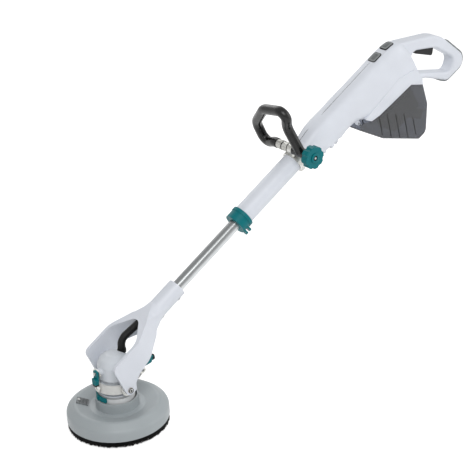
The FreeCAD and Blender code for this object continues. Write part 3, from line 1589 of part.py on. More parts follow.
def skirt_outline():
    """The straight-sided part of the housing that meets the cover's edge."""
    start = d.body_start.value
    deep = d.belly_drop.value
    return [(start + 186, -deep + 30, 3), (start + 203, -deep + 7, 4), (start + 231, -deep, 4),
            (start + 356, -deep - 8, 4), (start + 388, -deep - 39, 3), (start + 396, -deep - 20, 3),
            (start + 386, -deep + 20, 3), (start + 330, -deep + 40, 3)]


def side_face(corners, offset=0.0):
    """A face in the XZ plane, grown or drawn in by offset."""
    face = Part.Face(rounded_outline(corners))
    if offset:
        face = face.makeOffset2D(offset)
    return face


def thick(face, half_width):
    """A side face given thickness to both sides of the plane of symmetry."""
    solid = face.copy()
    solid.translate(Vector(0, -half_width, 0))
    return solid.extrude(Vector(0, 2 * half_width, 0))


def soft_thick(face, half_width, rounding, below=1e9):
    solid = thick(face, half_width)
    flat = [edge for edge in solid.Edges
            if abs(edge.BoundBox.YLength) < 1e-6 and abs(abs(edge.BoundBox.YMin) - half_width) < 1e-6
            and edge.BoundBox.ZMin < below]
    return solid.makeFillet(rounding, flat)


def hinge_point():
    start = d.body_start.value
    return Vector(start + 170, 0, -d.belly_depth.value - 10)


def swung(shape, pivot, degrees):
    """A copy turned about the Y axis through pivot: positive takes +X downward."""
    copy = shape.copy()
    copy.rotate(pivot, Vector(0, 1, 0), degrees)
    return copy


def trigger_outline():
    start = d.body_start.value
    top = d.body_top.value
    return [(start + 416, top - 70.5, 3), (start + 426, top - 89.5, 5), (start + 470, top - 138, 6),
            (start + 484, top - 122, 4), (start + 468, top - 98.5, 12), (start + 428, top - 66.5, 4)]


def trigger_pivot():
    return Vector(d.body_start.value + 424, 0, d.body_top.value - 75)


def screw_spots():
    """Where the screws that join the two halves stand, as (u, w)."""
    start = d.body_start.value
    top = d.body_top.value
    return [(start + 70, top - 75), (start + 142, top - 78), (start + 270, top - 14),
            (start + 378, top - 56), (start + 442, top - 57), (start + 532, top - 184),
            (start + 502, top - 225)]


def side_rod(radius, low, high, u, w):
    """A bar along Y at (u, w)."""
    return lying(radius, high - low, u, low, w, (0, 1, 0))


def button_frame(index):
    """Place of a button on the housing's top: the second follows the bend."""
    u = d.button_first.value + index * d.button_pitch.value
    tilt = index * d.button_tilt.value
    sink = d.button_pitch.value / 2 * math.sin(math.radians(tilt)) / 2
    return Placement(Vector(u, 0, d.body_top.value - sink), Rotation(Vector(0, 1, 0), tilt))


def button_box(index, margin, low, high):
    shape = rounded_box(d.button_length.value + 2 * margin, d.button_width.value + 2 * margin,
                        low, high, d.button_corner.value + margin)
    shape.Placement = button_frame(index)
    return shape


def rounded_box(length, width, low, high, corner):
    """A box on z = low with rounded upright edges, centred on the origin."""
    shape = flat_box(length, width, low, high)
    upright = [edge for edge in shape.Edges if edge.BoundBox.ZLength > (high - low) / 2]
    return shape.makeFillet(corner, upright)


def housing_cavity():
    """Everything that is hollow inside the housing."""
    wall = d.body_wall.value
    start = d.body_start.value
    top = d.body_top.value
    hollow = hull_shape(wall, 2, 10)
    bay = slab([(start + 360, top - 14, 3), (start + 384, top - 17, 20), (start + 455, top - 60, 3),
                (start + 447, top - 78, 3), (start + 384, top - 38, 10), (start + 360, top - 38, 3)],
               -d.switch_width.value, d.switch_width.value)
    skirt = thick(side_face(skirt_outline(), -wall), d.body_half_width.value + 1 - wall)
    return hollow.fuse([bay, skirt])


def housing():
    """Both halves of the rear housing, with their bosses, ribs and openings."""
    wall = d.body_wall.value
    start = d.body_start.value
    clear = d.running_gap.value
    outer = hull_shape(0, 0, 11).fuse(grip_solid(d.grip_half_width.value, d.grip_round.value))
    outer = outer.cut(thick(side_face(opening_outline()), 2 * d.body_half_width.value))
    outer = outer.fuse(thick(side_face(skirt_outline()), d.body_half_width.value + 1))
    hollow = housing_cavity()
    bosses = []
    shanks = []
    recesses = []
    far = 2 * d.body_half_width.value
    screw = d.screw_radius.value
    for u, w in screw_spots():
        bosses.append(side_rod(screw * 2.4, -far, far, u, w))
        shanks.append(side_rod(screw * 0.7, 2 - d.screw_seat, d.screw_seat, u, w))
        recesses.append(side_rod(screw * 1.8, d.screw_seat.value, far, u, w))
    rib_start = d.outer_end.value - 3 * wall
    rib = lying(far, 2 * wall, rib_start, 0).common(hull_shape(wall / 2, 2, 9))
    bore = lying(d.outer_radius.value + d.shaft_gap.value, d.outer_end.value - start + 2 * wall,
                 start - wall, 0)
    pivot = hinge_point()
    recess = d.hinge_radius.value * 4.4
    bed = side_rod(recess + wall, -far, far, pivot.x, pivot.z)
    for kept in bosses + [rib, bed]:
        hollow = hollow.cut(kept)
    shell = carve(outer, [hollow, bore])
    bay_cut = thick(side_face(cover_outline()), d.cover_half_width.value + clear)
    bay_cut.translate(Vector(0, 0, 2 * clear))
    mouth = flat_box(d.battery_length.value + 4, d.battery_width.value + 1,
                     -2 * d.battery_top.value, -d.battery_top.value + 30,
                     d.battery_start.value + d.battery_length.value / 2)
    shell = carve(shell, [bay_cut, mouth, side_rod(recess, -far, far, pivot.x, pivot.z)])
    lugs = []
    for low in (-d.hinge_lug_end.value, d.hinge_lug_end.value - d.hinge_lug_width.value):
        high = low + d.hinge_lug_width.value
        lug = side_rod(d.hinge_radius.value * 2, low, high, pivot.x, pivot.z)
        stem = Part.makeBox(d.hinge_radius.value * 4, high - low, recess + wall / 2,
                            Vector(pivot.x - 2 * d.hinge_radius.value, low, pivot.z))
        lugs.append(lug.fuse(stem))
    shell = shell.fuse(lugs).cut(side_rod(d.hinge_radius, -far, far, pivot.x, pivot.z))
    trigger_wide = trigger_face(clear * 2)
    for step in range(5):
        swept = swung(thick(trigger_wide, d.trigger_width.value / 2 + clear), trigger_pivot(),
                      -d.trigger_travel.value * step / 4)
        shell = shell.cut(swept)
    for index in range(2):
        shell = shell.cut(button_box(index, d.bezel_margin.value, -2 * d.button_height.value, 9))
    spot = trigger_pivot()
    pin_reach = d.trigger_width.value / 2 + d.trigger_pin_grip.value
    shell = shell.cut(side_rod(d.trigger_pin_radius, -pin_reach, pin_reach, spot.x, spot.z))
    shell = shell.cut(release_box(clear, 0, far))
    shell = shell.cut(shanks + recesses)
    half = Part.makeBox(2000, 400, 2000, Vector(0, 0, -1000))
    left = shell.common(half)
    right = shell.cut(half)
    fixed_node("housing_left", left, "pole")
    fixed_node("housing_right", right, "pole")
    screws = [side_rod(screw * 0.7, 2 - d.screw_seat.value, d.screw_seat.value, u, w).fuse(
        side_rod(screw * 1.6, d.screw_seat.value, d.screw_seat.value + screw, u, w))
        for u, w in screw_spots()]
    fixed_node("housing_screws", Part.makeCompound(screws + [clamp_screw]), "pole")
    hinge = side_rod(d.hinge_radius, -d.hinge_lug_end.value, d.hinge_lug_end.value, pivot.x, pivot.z)
    spot = trigger_pivot()
    reach = d.trigger_width.value / 2 + d.trigger_pin_grip.value
    trigger_pin = side_rod(d.trigger_pin_radius, -reach, reach, spot.x, spot.z)
    fixed_node("hinge_pins", Part.makeCompound([hinge, trigger_pin]), "pole")
    return outer


def release_box(margin, low, high):
    """The cover's release key on the far side, from y = low to y = high."""
    half = d.release_length.value / 2 + margin
    tall = d.release_height.value / 2 + margin
    u = d.body_start.value + 364
    w = d.body_top.value - 82.5
    corner = d.release_height.value / 3
    return slab([(u - half, w - tall, corner), (u + half, w - tall, corner),
                 (u + half, w + tall, corner), (u - half, w + tall, corner)], low, high)


def cover_release():
    """Sprung key that frees the battery cover."""
    face = d.body_half_width.value + d.button_proud.value
    fixed_node("cover_release", release_box(0, face - d.release_depth.value, face), "pole")


def trigger_face(offset=0.0):
    return side_face(trigger_outline(), offset)


def trigger():
    pivot = trigger_pivot()
    body = soft_thick(trigger_face(), d.trigger_width.value / 2, 1.6)
    bore = d.trigger_pin_radius.value + d.shaft_gap.value
    body = body.cut(side_rod(bore, -99, 99, pivot.x, pivot.z))
    fixed_node("trigger", body, "pole")


def grip_bumper(outer):
    """Soft bumper round the grip's heel."""
    offset = d.bumper_thickness.value
    face = side_face(grip_outline(), offset)
    half = d.bumper_half_width.value
    start = d.body_start.value
    keep = Part.makeBox(400, 2 * half, 300, Vector(start + 455, -half, d.body_top.value - 136 - 300))
    opening = thick(side_face(opening_outline(), offset), 2 * half)
    bumper = thick(face, half).common(keep).cut(outer).cut(opening)
    bumper = max(bumper.Solids, key=lambda solid: solid.Volume)
    fixed_node("grip_bumper", bumper, "pole")


def buttons():
    """Two sprung keys in their bezels, over a board with their switches."""
    gap = d.running_gap.value
    board_top = d.body_top.value - d.board_drop.value
    under = flat_box(999, 999, -999, board_top, d.button_first.value)
    bezels = []
    for index, label in enumerate(("power_button", "speed_button")):
        bezel = button_box(index, d.bezel_margin.value - gap, -2 * d.button_height.value,
                           d.bezel_proud.value)
        inside = button_box(index, gap, -3 * d.button_height.value, 9)
        bezels.append(bezel.cut([inside, under]))
        key = button_box(index, 0, -d.button_height.value, d.button_proud.value)
        fixed_node(label, key, "pole")
    fixed_node("button_bezels", Part.makeCompound(bezels), "pole")
    length = d.button_pitch.value + d.button_length.value
    board = flat_box(length, d.button_width.value * 1.3, board_top - d.board_thickness.value,
                     board_top, d.button_first.value + d.button_pitch.value / 2)
    return board


def battery_cover():
    """Smoked cover under the belly: a deep tray, open above, with a barrel on the hinge pin."""
    wall = d.cover_wall.value
    half = d.cover_half_width.value
    carried = soft_thick(side_face(cover_body_outline()), half, d.cover_round.value, -20.5)
    outer = carried.common(thick(side_face(cover_outline()), half + 1))
    inner = thick(side_face(cover_body_outline(), -wall), half - wall)
    shell = outer.cut(inner)
    pivot = hinge_point()
    reach = d.hinge_lug_end.value - d.hinge_lug_width.value - d.running_gap.value
    lug_room = d.hinge_radius.value * 2 + d.running_gap.value
    clearances = [side_rod(lug_room, -d.hinge_lug_end.value - 1, -reach, pivot.x, pivot.z),
                  side_rod(lug_room, reach, d.hinge_lug_end.value + 1, pivot.x, pivot.z)]
    shell = shell.cut(clearances)
    barrel = side_rod(d.hinge_radius.value * 1.8, -reach, reach, pivot.x, pivot.z)
    web = Part.makeBox(12, 2 * reach, 4, Vector(pivot.x - 12, -reach, pivot.z - 4)).common(outer)
    shell = shell.fuse([barrel, web]).cut(
        side_rod(d.hinge_radius.value + d.shaft_gap.value, -99, 99, pivot.x, pivot.z))
    shell = max(shell.Solids, key=lambda solid: solid.Volume)
    fixed_node("battery_cover", shell, "pole")


def battery(board):
    """Battery pack, the terminal block that it hangs from, and the control unit."""
    start = d.battery_start.value
    length = d.battery_length.value
    top = -d.battery_top.value
    pack = rounded_box(length, d.battery_width.value, top - d.battery_height.value, top, 6)
    pack.translate(Vector(start + length / 2, 0, 0))
    step = rounded_box(length * 0.72, d.battery_width.value * 0.7, top, top + 6, 2.9)
    step.translate(Vector(start + length * 0.45, 0, 0))
    fixed_node("battery", pack.fuse(step), "pole")
    block = flat_box(length * 0.75, 2 * (d.body_half_width.value + 1 - d.body_wall.value) - 0.4,
                     top + 6, d.unit_base.value, start + length * 0.47)
    fixed_node("terminal_block", block, "pole")
    unit = flat_box(d.unit_length.value, d.unit_width.value, d.unit_base.value,
                    d.unit_base.value + d.unit_height.value, start + length * 0.5)
    fixed_node("control_boards", Part.makeCompound([unit, board]), "pole")


def switch():
    """Trigger switch in the grip's top bar."""
    start = d.body_start.value
    top = d.body_top.value
    half = d.switch_width.value
    body = slab([(start + 392, top - 27, 2), (start + 426, top - 47, 2), (start + 420, top - 57, 2),
                 (start + 386, top - 37, 2)], -half, half)
    fixed_node("trigger_switch", body, "pole")


hull = housing()
trigger()
grip_bumper(hull)
cover_release()
battery_cover()
battery(buttons())
switch()


# ================================================================ checks and export

doc.recompute()
for item in doc.Objects:
    if "Invalid" in item.State or "Error" in item.State:
        raise RuntimeError("%s (%s) is %s" % (item.Name, item.Label, item.State))
for solid in NODES:
    if solid.Shape.isNull() or not solid.Shape.isValid() or not solid.Shape.Solids:
        raise RuntimeError("%s has no valid solid" % solid.Label)

os.makedirs("parts", exist_ok=True)
for solid in NODES:
    solid.Shape.exportStep("parts/%s.step" % solid.Label)
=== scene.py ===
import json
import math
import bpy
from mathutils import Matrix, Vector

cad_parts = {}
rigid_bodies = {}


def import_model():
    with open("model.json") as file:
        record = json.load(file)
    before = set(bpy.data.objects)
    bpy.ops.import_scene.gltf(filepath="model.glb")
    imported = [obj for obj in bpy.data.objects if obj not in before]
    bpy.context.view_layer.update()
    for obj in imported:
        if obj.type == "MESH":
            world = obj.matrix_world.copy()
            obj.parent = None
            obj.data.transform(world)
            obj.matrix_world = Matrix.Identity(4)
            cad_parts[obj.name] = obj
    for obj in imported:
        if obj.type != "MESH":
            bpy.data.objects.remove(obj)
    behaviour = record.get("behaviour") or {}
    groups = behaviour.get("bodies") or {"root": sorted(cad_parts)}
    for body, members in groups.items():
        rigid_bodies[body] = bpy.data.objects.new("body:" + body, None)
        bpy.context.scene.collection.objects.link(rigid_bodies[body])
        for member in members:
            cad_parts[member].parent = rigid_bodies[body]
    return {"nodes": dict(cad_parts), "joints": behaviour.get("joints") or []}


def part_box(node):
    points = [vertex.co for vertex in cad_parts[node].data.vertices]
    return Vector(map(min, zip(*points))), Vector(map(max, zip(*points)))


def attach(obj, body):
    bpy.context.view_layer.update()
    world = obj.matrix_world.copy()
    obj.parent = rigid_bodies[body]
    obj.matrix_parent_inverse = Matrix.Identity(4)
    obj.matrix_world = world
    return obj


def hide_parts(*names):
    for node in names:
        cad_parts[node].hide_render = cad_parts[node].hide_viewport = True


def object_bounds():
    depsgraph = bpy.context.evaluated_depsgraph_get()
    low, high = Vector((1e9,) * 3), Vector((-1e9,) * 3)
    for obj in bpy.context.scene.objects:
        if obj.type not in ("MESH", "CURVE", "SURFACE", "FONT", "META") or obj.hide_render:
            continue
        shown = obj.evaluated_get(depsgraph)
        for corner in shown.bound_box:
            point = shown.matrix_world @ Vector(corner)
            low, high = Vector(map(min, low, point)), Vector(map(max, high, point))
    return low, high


bl_info = {
    "name": "Pole Drywall Sander",
    "version": (1, 0, 0),
    "blender": (4, 5, 0),
    "location": "3D View > Sidebar > Sander",
    "description": "Finishes and fine parts of a pole drywall sander",
    "category": "Object",
}

from functools import partial, wraps

import bmesh
import bpy
from mathutils import Matrix, Vector

# nothing of Blender's start-up file belongs to the scene
for leftover in list(bpy.data.objects):
    bpy.data.objects.remove(leftover)

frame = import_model()

MM = 0.001
CAD_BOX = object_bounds()
JOINTS = {joint["name"]: joint for joint in frame["joints"]}

# The pole's own frame: X along the pole, Y across it and Z above it. The collar's hinge lies
# on the pole's axis, COLLAR_ALONG from the frame's origin.
COLLAR_ALONG = 496.0
POLE_AXIS = Vector(JOINTS["collar_turn"]["axis"]).normalized()
ACROSS = Vector((0, 1, 0))
POLE_UP = POLE_AXIS.cross(ACROSS)
COLLAR_SPOT = Vector(JOINTS["collar_turn"]["pos_m"])
FULL_TURN = 2 * math.pi

# Measures of the fine parts: millimetres and degrees, except where a comment says otherwise.
# HOSE_END and BATTERY_END_PLACE are (along, across, up) in the pole's frame.
SHARP_ANGLE = 35.0

# insets are from the brush's outer radius, and the strip's are for its outer and inner side
BRISTLE_ROOT_INSET = 2.9
BRISTLE_DEPTH = 3.2
STRIP_INSETS = (3.2, 6)
STRIP_LIFT = 9
TUFT_SIZE = 7
BRISTLE_SEED = 7
# shares of a bristle's length, then of its thickness, and of a turn
BRISTLE_SHORTEST = 0.86
TUFT_SHORTEST = 0.84
BRISTLE_TIP_SHARE = 0.55
BRISTLE_ROW_STAGGER = 0.0007
# radians
BRISTLE_SWAY = 0.06
BRISTLE_FLARE = 0.12

HOSE_RADIUS = 9.0
HOSE_CORNER_HEIGHT = 219
HOSE_BEND_RADIUS = 25.7
HOSE_END = (135, 0, 12)
HOSE_RIB_SINK = 0.1
HOSE_RIB_HALF_WIDTH = 0.95

# share of a screw head's radius that its socket takes up
SOCKET_SHARE = 0.45

VENT_RADIUS = 40.2
# from the top of the motor housing
VENT_DROP = 42
VENT_STEP = 10
INLET_COUNT = 3
INLET_STEP = 9
INLET_START = -105

LEVER_RIB_STEP = 4
LEVER_RIB_LIFT = 7
LEVER_TIP_LIFT = 1.4
TILT_BOLT_ALONG = 49.4
TILT_BOLT_UP = -31.7
TILT_LEVER_LEAN = 21
# name, finish, distance from the bolt, drop below the lever's line, and block
TILT_LEVER_ENDS = (("tilt_lever_paddle", "teal_nylon", 33.0, 3.5, (25, 10.2, 21, 4)),
                   ("tilt_lever_tip", "black_abs", 49.5, 2.5, (13, 10, 15, 4)))

RAIL_RADIUS = 62
RAIL_ACROSS = -38
RAIL_HALF_WIDTH = 2.8
RAIL_ANGLES = range(20, 61, 5)
RAIL_FOOT_OUT = 40
RAIL_FOOT_LIFT = 6

SEAL_PROFILE = [(11, -1.3), (12.5, -1.3), (12.7, 0), (12.5, 1.3), (11, 1.3)]
# shares of the ferrules' length at which a seal stands
SEAL_SHARES = (0.03, 0.5, 0.97)
KNOB_CAP_PROFILE = [(6.6, -1), (12.4, -1), (12.4, 0.4), (10.5, 1.4), (7.4, 1.6), (6.6, 1)]
KNOB_BOLT_PROFILE = [(0, -0.5), (2.8, -0.5), (2.8, 0.5), (2, 1), (0, 1.1)]

BUTTON_TILTS = {"power_button": 0, "speed_button": 12}
BUTTON_RIB_COUNT = 8
BUTTON_RIB_STEP = 2.6
# from a button's middle to its first rib
BUTTON_RIB_REACH = 9.1

# (along, up) in the pole's frame, as LOUVRE_START is
SEAM_LINE = [(742, 30.3), (752, 31.2), (764, 33.6), (774, 35.5), (786, 36.4), (800, 36.5), (1034, 36.5)]

LOUVRE_START = (955, -110)
LOUVRE_STEP = 22.5
LOUVRE_LEAN = 17
LOUVRE_HALF_LENGTH = 36
LOUVRE_SHORT_HALF_LENGTH = 26
# how far a louvre's centre line lies inside the cover's side, as a share of its radius
LOUVRE_SINK = 0.7

BATTERY_END_PLACE = (1069, 0, -177)
BATTERY_END_TURN = 51

# name, place from the middle of the CAD box in metres, size in metres and power in watts
LAMPS = (("key", (-1.6, -2.2, 2.6), 2.0, 66),
         ("fill", (2.4, -1.8, 1.2), 2.4, 26),
         ("back", (0.8, 2.6, 1.8), 2.0, 20))
# azimuth, elevation and roll
CAMERA_ANGLES = (-37.70, 25.16, 2.67)
# these three are in metres, and the target is in the frame's own coordinates
CAMERA_TARGET = (0.39276, 0, 0.39457)
CAMERA_DISTANCE = 3.6
FLOOR_HALF_SIZE = 30


def pole_place(along, across, up):
    """A point given in the pole's frame, in millimetres."""
    offset = POLE_AXIS * (along - COLLAR_ALONG) + ACROSS * across + POLE_UP * up
    return COLLAR_SPOT + offset * MM


def frame_matrix(origin, x_axis, y_axis, z_axis):
    """The matrix whose columns are three axes and an origin."""
    matrix = Matrix((x_axis, y_axis, z_axis)).transposed().to_4x4()
    matrix.translation = origin
    return matrix


def pole_matrix(along, across, up):
    """A frame at a point of the pole's frame, turned as the pole is."""
    return frame_matrix(pole_place(along, across, up), POLE_AXIS, ACROSS, POLE_UP)


def linear(hex_colour):
    """Linear RGB of an sRGB hex colour."""
    channels = [int(hex_colour[place:place + 2], 16) / 255 for place in (1, 3, 5)]
    return [c / 12.92 if c <= 0.04045 else ((c + 0.055) / 1.055) ** 2.4 for c in channels]


def opaque(colour):
    """A colour with an alpha of 1."""
    return (*colour[:3], 1.0)


# ---------------------------------------------------------------- settings


def colour_setting(name, description, hex_colour):
    """A colour that the user can change."""
    return bpy.props.FloatVectorProperty(name=name, description=description, subtype="COLOR", size=3,
                                         min=0, max=1, default=linear(hex_colour))


def length_setting(name, description, millimetres):
    """A length that the user can change."""
    return bpy.props.FloatProperty(name=name, description=description, subtype="DISTANCE",
                                   unit="LENGTH", min=0, default=millimetres * MM)


def count_setting(name, description, default):
    """A count that the user can change."""
    return bpy.props.IntProperty(name=name, description=description, min=1, default=default)


class SanderColours(bpy.types.PropertyGroup):
    """Colours of the sander's finishes."""
    body: colour_setting("Body", "Housing, outer tube and fork", "#DDE1E9")
    dome: colour_setting("Motor housing", "Cap over the motor", "#D3D8DE")
    shroud: colour_setting("Shroud", "Dust shroud over the pad", "#A3AAAD")
    accent: colour_setting("Accent", "Collar, levers, catch and clamp knob", "#006F76")
    grip: colour_setting("Grip", "Loop handle", "#0B0B0B")
    smoke: colour_setting("Smoke", "Tinted battery cover", "#6A6E78")
    tube: colour_setting("Tube", "Anodised inner tube", "#C4C7C8")
    bristles: colour_setting("Bristles", "Brush round the shroud", "#0D0D0D")


class SanderSizes(bpy.types.PropertyGroup):
    """Sizes and counts of the fine parts."""
    bristle_count: count_setting("Bristles in a row", "Bristles round one row of the brush", 900)
    bristle_rows: count_setting("Rows of bristles", "Rows across the brush's thickness", 5)
    bristle_length: length_setting("Bristle length", "Free length of a bristle", 19.5)
    bristle_thickness: length_setting("Bristle thickness", "Radius of a bristle's root", 0.55)
    hose_rib_pitch: length_setting("Hose rib pitch", "Distance from one rib of the hose to the next", 3.6)
    hose_rib_height: length_setting("Hose rib height", "How far a rib stands off the hose", 0.9)
    seam_radius: length_setting("Seam radius", "Half the width of the seam between the halves", 0.4)
    louvre_count: count_setting("Louvres", "Slots in each side of the battery cover", 5)
    louvre_radius: length_setting("Louvre radius", "Half the width of a slot in the cover", 1.7)
    knurl_count: count_setting("Knurls", "Ridges round a ferrule", 54)
    vent_count: count_setting("Vents", "Slots in the motor housing", 9)
    lever_rib_count: count_setting("Lever ribs", "Ribs across the swing lever", 4)


def colours():
    """The scene's SanderColours."""
    return bpy.context.scene.sander_colours


def sizes():
    """The scene's SanderSizes."""
    return bpy.context.scene.sander_sizes


# ---------------------------------------------------------------- node trees


def add_node(tree, kind, inputs=None, **settings):
    """Adds a node with its settings, and sets or links its inputs by name or place."""
    node = tree.nodes.new(kind)
    for name, value in settings.items():
        setattr(node, name, value)
    for socket, value in (inputs or {}).items():
        if isinstance(value, bpy.types.Node):
            value = value.outputs[0]
        if isinstance(value, bpy.types.NodeSocket):
            tree.links.new(value, node.inputs[socket])
        else:
            node.inputs[socket].default_value = value
    return node


def new_material(name):
    """An empty material, what adds its nodes, and the piece's own coordinates in metres."""
    material = bpy.data.materials.new(name)
    material.use_nodes = True
    material.node_tree.nodes.clear()
    add = partial(add_node, material.node_tree)
    return material, add, add("ShaderNodeTexCoord").outputs["Object"]


def as_material(surface):
    """Turns a function that gives a principled surface's inputs into one that makes a material."""
    @wraps(surface)
    def make(name, *values, **settings):
        material, add, place = new_material(name)
        shader = add("ShaderNodeBsdfPrincipled", surface(add, place, *values, **settings))
        add("ShaderNodeOutputMaterial", {"Surface": shader})
        return material
    return make


def shade(colour, factor):
    """A colour made darker or lighter by a factor."""
    return [min(channel * factor, 1.0) for channel in colour[:3]]


def clouds(add, place, size, low, high, detail=3.0, start=0.35, end=0.65):
    """A value that wanders from low to high in lumps about size millimetres across."""
    lumps = add("ShaderNodeTexNoise",
                {"Vector": place, "Scale": 1 / (size * MM), "Detail": detail, "Roughness": 0.55})
    return add("ShaderNodeMapRange", {"Value": lumps, "From Min": start, "From Max": end,
                                      "To Min": low, "To Max": high})


def mottled(add, place, size, first, second, detail=3.0):
    """A colour that wanders between two shades in lumps about size millimetres across."""
    share = clouds(add, place, size, 0, 1, detail)
    mix = add("ShaderNodeMix", {0: share, 6: opaque(first), 7: opaque(second)}, data_type="RGBA")
    return mix.outputs[2]


def worn_edges(add, edges, plain, worn):
    """Shows the worn colour where the rounded normal leaves the true one, as on a handled corner."""
    true = add("ShaderNodeNewGeometry").outputs["Normal"]
    along = add("ShaderNodeVectorMath", {0: edges, 1: true}, operation="DOT_PRODUCT")
    wear = add("ShaderNodeMapRange", {"Value": along.outputs["Value"], "From Min": 0.8,
                                      "From Max": 0.995, "To Min": 1.0, "To Max": 0.0})
    mix = add("ShaderNodeMix", {0: wear, 6: plain, 7: opaque(worn)}, data_type="RGBA")
    return mix.outputs[2]


def two_tone(add, pattern, low, high, depth):
    """A surface's colour and relief from a pattern: low where it is 0, high and raised where it is 1."""
    tone = add("ShaderNodeMix", {0: pattern, 6: opaque(low), 7: opaque(high)}, data_type="RGBA")
    relief = add("ShaderNodeBump", {"Height": pattern, "Distance": depth * MM})
    return {"Base Color": tone.outputs[2], "Normal": relief}


def grained(add, place, edge, grain, depth):
    """Edges rounded by edge, and over them a skin of lumps grain across and depth high, all in mm."""
    edges = add("ShaderNodeBevel", {"Radius": edge * MM}, samples=4)
    lumps = add("ShaderNodeTexNoise", {"Vector": place, "Scale": 1 / (grain * MM), "Detail": 4.0})
    skin = add("ShaderNodeBump", {"Height": lumps, "Distance": depth * MM, "Normal": edges})
    return edges, skin


# ---------------------------------------------------------------- finishes


@as_material
def moulded_plastic(add, place, colour, roughness=0.42, grain=0.7, depth=0.03, edge=0.5, lift=1.1, gloss=0.5):
    """Injection-moulded ABS: a fine spark-eroded grain, faint flow shading and softly worn edges."""
    edges, skin = grained(add, place, edge, grain, depth)
    flow = mottled(add, place, 90, shade(colour, 0.965), shade(colour, 1.02), detail=2)
    return {"Base Color": worn_edges(add, edges, flow, shade(colour, lift)),
            "Roughness": clouds(add, place, 22, roughness - 0.05, roughness + 0.07, detail=5),
            "IOR": 1.53, "Specular IOR Level": gloss, "Normal": skin}


@as_material
def soft_rubber(add, place, colour, roughness=0.5, grain=1.2, depth=0.06, gloss=0.25):
    """Moulded elastomer: near black, with a leathery skin and a broad soft gloss."""
    edges = add("ShaderNodeBevel", {"Radius": 0.6 * MM}, samples=4)
    skin = add("ShaderNodeTexVoronoi", {"Vector": place, "Scale": 1 / (grain * MM)}, feature="SMOOTH_F1")
    leather = add("ShaderNodeBump", {"Height": skin.outputs["Distance"],
                                     "Distance": depth * MM, "Normal": edges})
    return {"Base Color": mottled(add, place, 14, shade(colour, 0.8), shade(colour, 1.3), detail=5),
            "Roughness": clouds(add, place, 14, roughness - 0.08, roughness + 0.1, detail=5),
            "IOR": 1.5, "Specular IOR Level": gloss, "Normal": leather}


@as_material
def drawn_aluminium(add, place, colour, direction, shaded_side, roughness=0.3):
    """Anodised drawn tube: fine lines along the draw, a satin oxide, and painted shade on the side that faces
    the given direction.
    """
    turn = Vector((1, 0, 0)).rotation_difference(direction).inverted().to_euler()
    along = add("ShaderNodeMapping", {"Vector": place, "Rotation": turn})
    # a drawn line is about 1 mm wide and half a metre long
    lines = add("ShaderNodeMapping", {"Vector": along, "Scale": (2, 1 / MM, 1 / MM)})
    draw = add("ShaderNodeTexNoise", {"Vector": lines, "Scale": 1.0, "Detail": 3.0})
    satin = add("ShaderNodeMapRange", {"Value": draw, "From Min": 0.35, "From Max": 0.65,
                                       "To Min": roughness - 0.06, "To Max": roughness + 0.1})
    relief = add("ShaderNodeBump", {"Height": draw, "Distance": 0.02 * MM})
    # painted shade: the tube's side that faces the given direction is painted darker, down to 0.42 of the
    # colour
    facing = add("ShaderNodeNewGeometry").outputs["Normal"]
    side = add("ShaderNodeVectorMath", {0: facing, 1: shaded_side}, operation="DOT_PRODUCT")
    depth = add("ShaderNodeMapRange", {"Value": side.outputs["Value"], "From Min": -0.1,
                                       "From Max": 0.55})
    oxide = mottled(add, place, 35, shade(colour, 0.93), shade(colour, 1.05))
    shaded = add("ShaderNodeMix", {0: depth, 6: oxide, 7: opaque(shade(colour, 0.42))}, data_type="RGBA")
    return {"Base Color": shaded.outputs[2], "Metallic": 1.0, "Roughness": satin, "Normal": relief}


@as_material
def plated_steel(add, place, colour, roughness=0.28, tarnish="#8C8A80"):
    """Zinc-plated steel: bright, with cloudy passivation and tiny pits."""
    _, skin = grained(add, place, 0.3, 0.5, 0.02)
    halfway = [(bright + dull) / 2 for bright, dull in zip(colour, linear(tarnish))]
    return {"Base Color": mottled(add, place, 6, colour, halfway, detail=5), "Metallic": 1.0,
            "Roughness": clouds(add, place, 6, roughness - 0.06, roughness + 0.14, detail=5),
            "Normal": skin}


@as_material
def turned_steel(add, place, colour, roughness=0.22):
    """Turned steel: rings round the spindle's axis, left by the tool 0.4 mm apart."""
    rings = add("ShaderNodeTexWave", {"Vector": place, "Scale": 1 / (0.4 * MM) / FULL_TURN,
                                      "Distortion": 0.6}, wave_type="BANDS", bands_direction="Z")
    satin = add("ShaderNodeMapRange", {"Value": rings.outputs["Fac"], "To Min": roughness,
                                       "To Max": roughness + 0.12})
    relief = add("ShaderNodeBump", {"Height": rings.outputs["Fac"], "Distance": 0.02 * MM})
    return {"Base Color": opaque(colour), "Metallic": 1.0, "Roughness": satin, "Normal": relief}


@as_material
def cast_aluminium(add, place, colour, roughness=0.5, metallic=0.6):
    """Painted die casting: an orange-peel skin over a slightly pitted casting."""
    edges, skin = grained(add, place, 0.8, 1.6, 0.08)
    patches = mottled(add, place, 18, shade(colour, 0.94), shade(colour, 1.04), detail=4)
    return {"Base Color": worn_edges(add, edges, patches, shade(colour, 1.2)), "Metallic": metallic,
            "Roughness": clouds(add, place, 18, roughness - 0.06, roughness + 0.08, detail=4),
            "Normal": skin}


@as_material
def smoked_polycarbonate(add, place, colour):
    """Tinted polycarbonate: glossy and see-through, with faint flow waves and handling haze."""
    _, skin = grained(add, place, 0.8, 45, 0.3)
    return {"Base Color": opaque(colour), "Transmission Weight": 0.96, "IOR": 1.58,
            "Specular IOR Level": 0.2, "Normal": skin,
            "Roughness": clouds(add, place, 16, 0.06, 0.16, detail=5)}


@as_material
def perforated_abs(add, place, colour, pitch=2.6):
    """Grille moulding: rows of small holes pitch millimetres apart in a matt plate, their insides painted
    near black as painted shade.
    """
    cells = add("ShaderNodeTexVoronoi", {"Vector": place, "Scale": 1 / (pitch * MM), "Randomness": 0.15})
    plate = add("ShaderNodeMapRange", {"Value": cells.outputs["Distance"], "From Min": 0.3,
                                       "From Max": 0.36})
    # the holes are painted near black: painted shade inside them
    return {**two_tone(add, plate, linear("#0C0C0D"), colour, 0.6),
            "Roughness": clouds(add, place, 12, 0.45, 0.6), "IOR": 1.53}


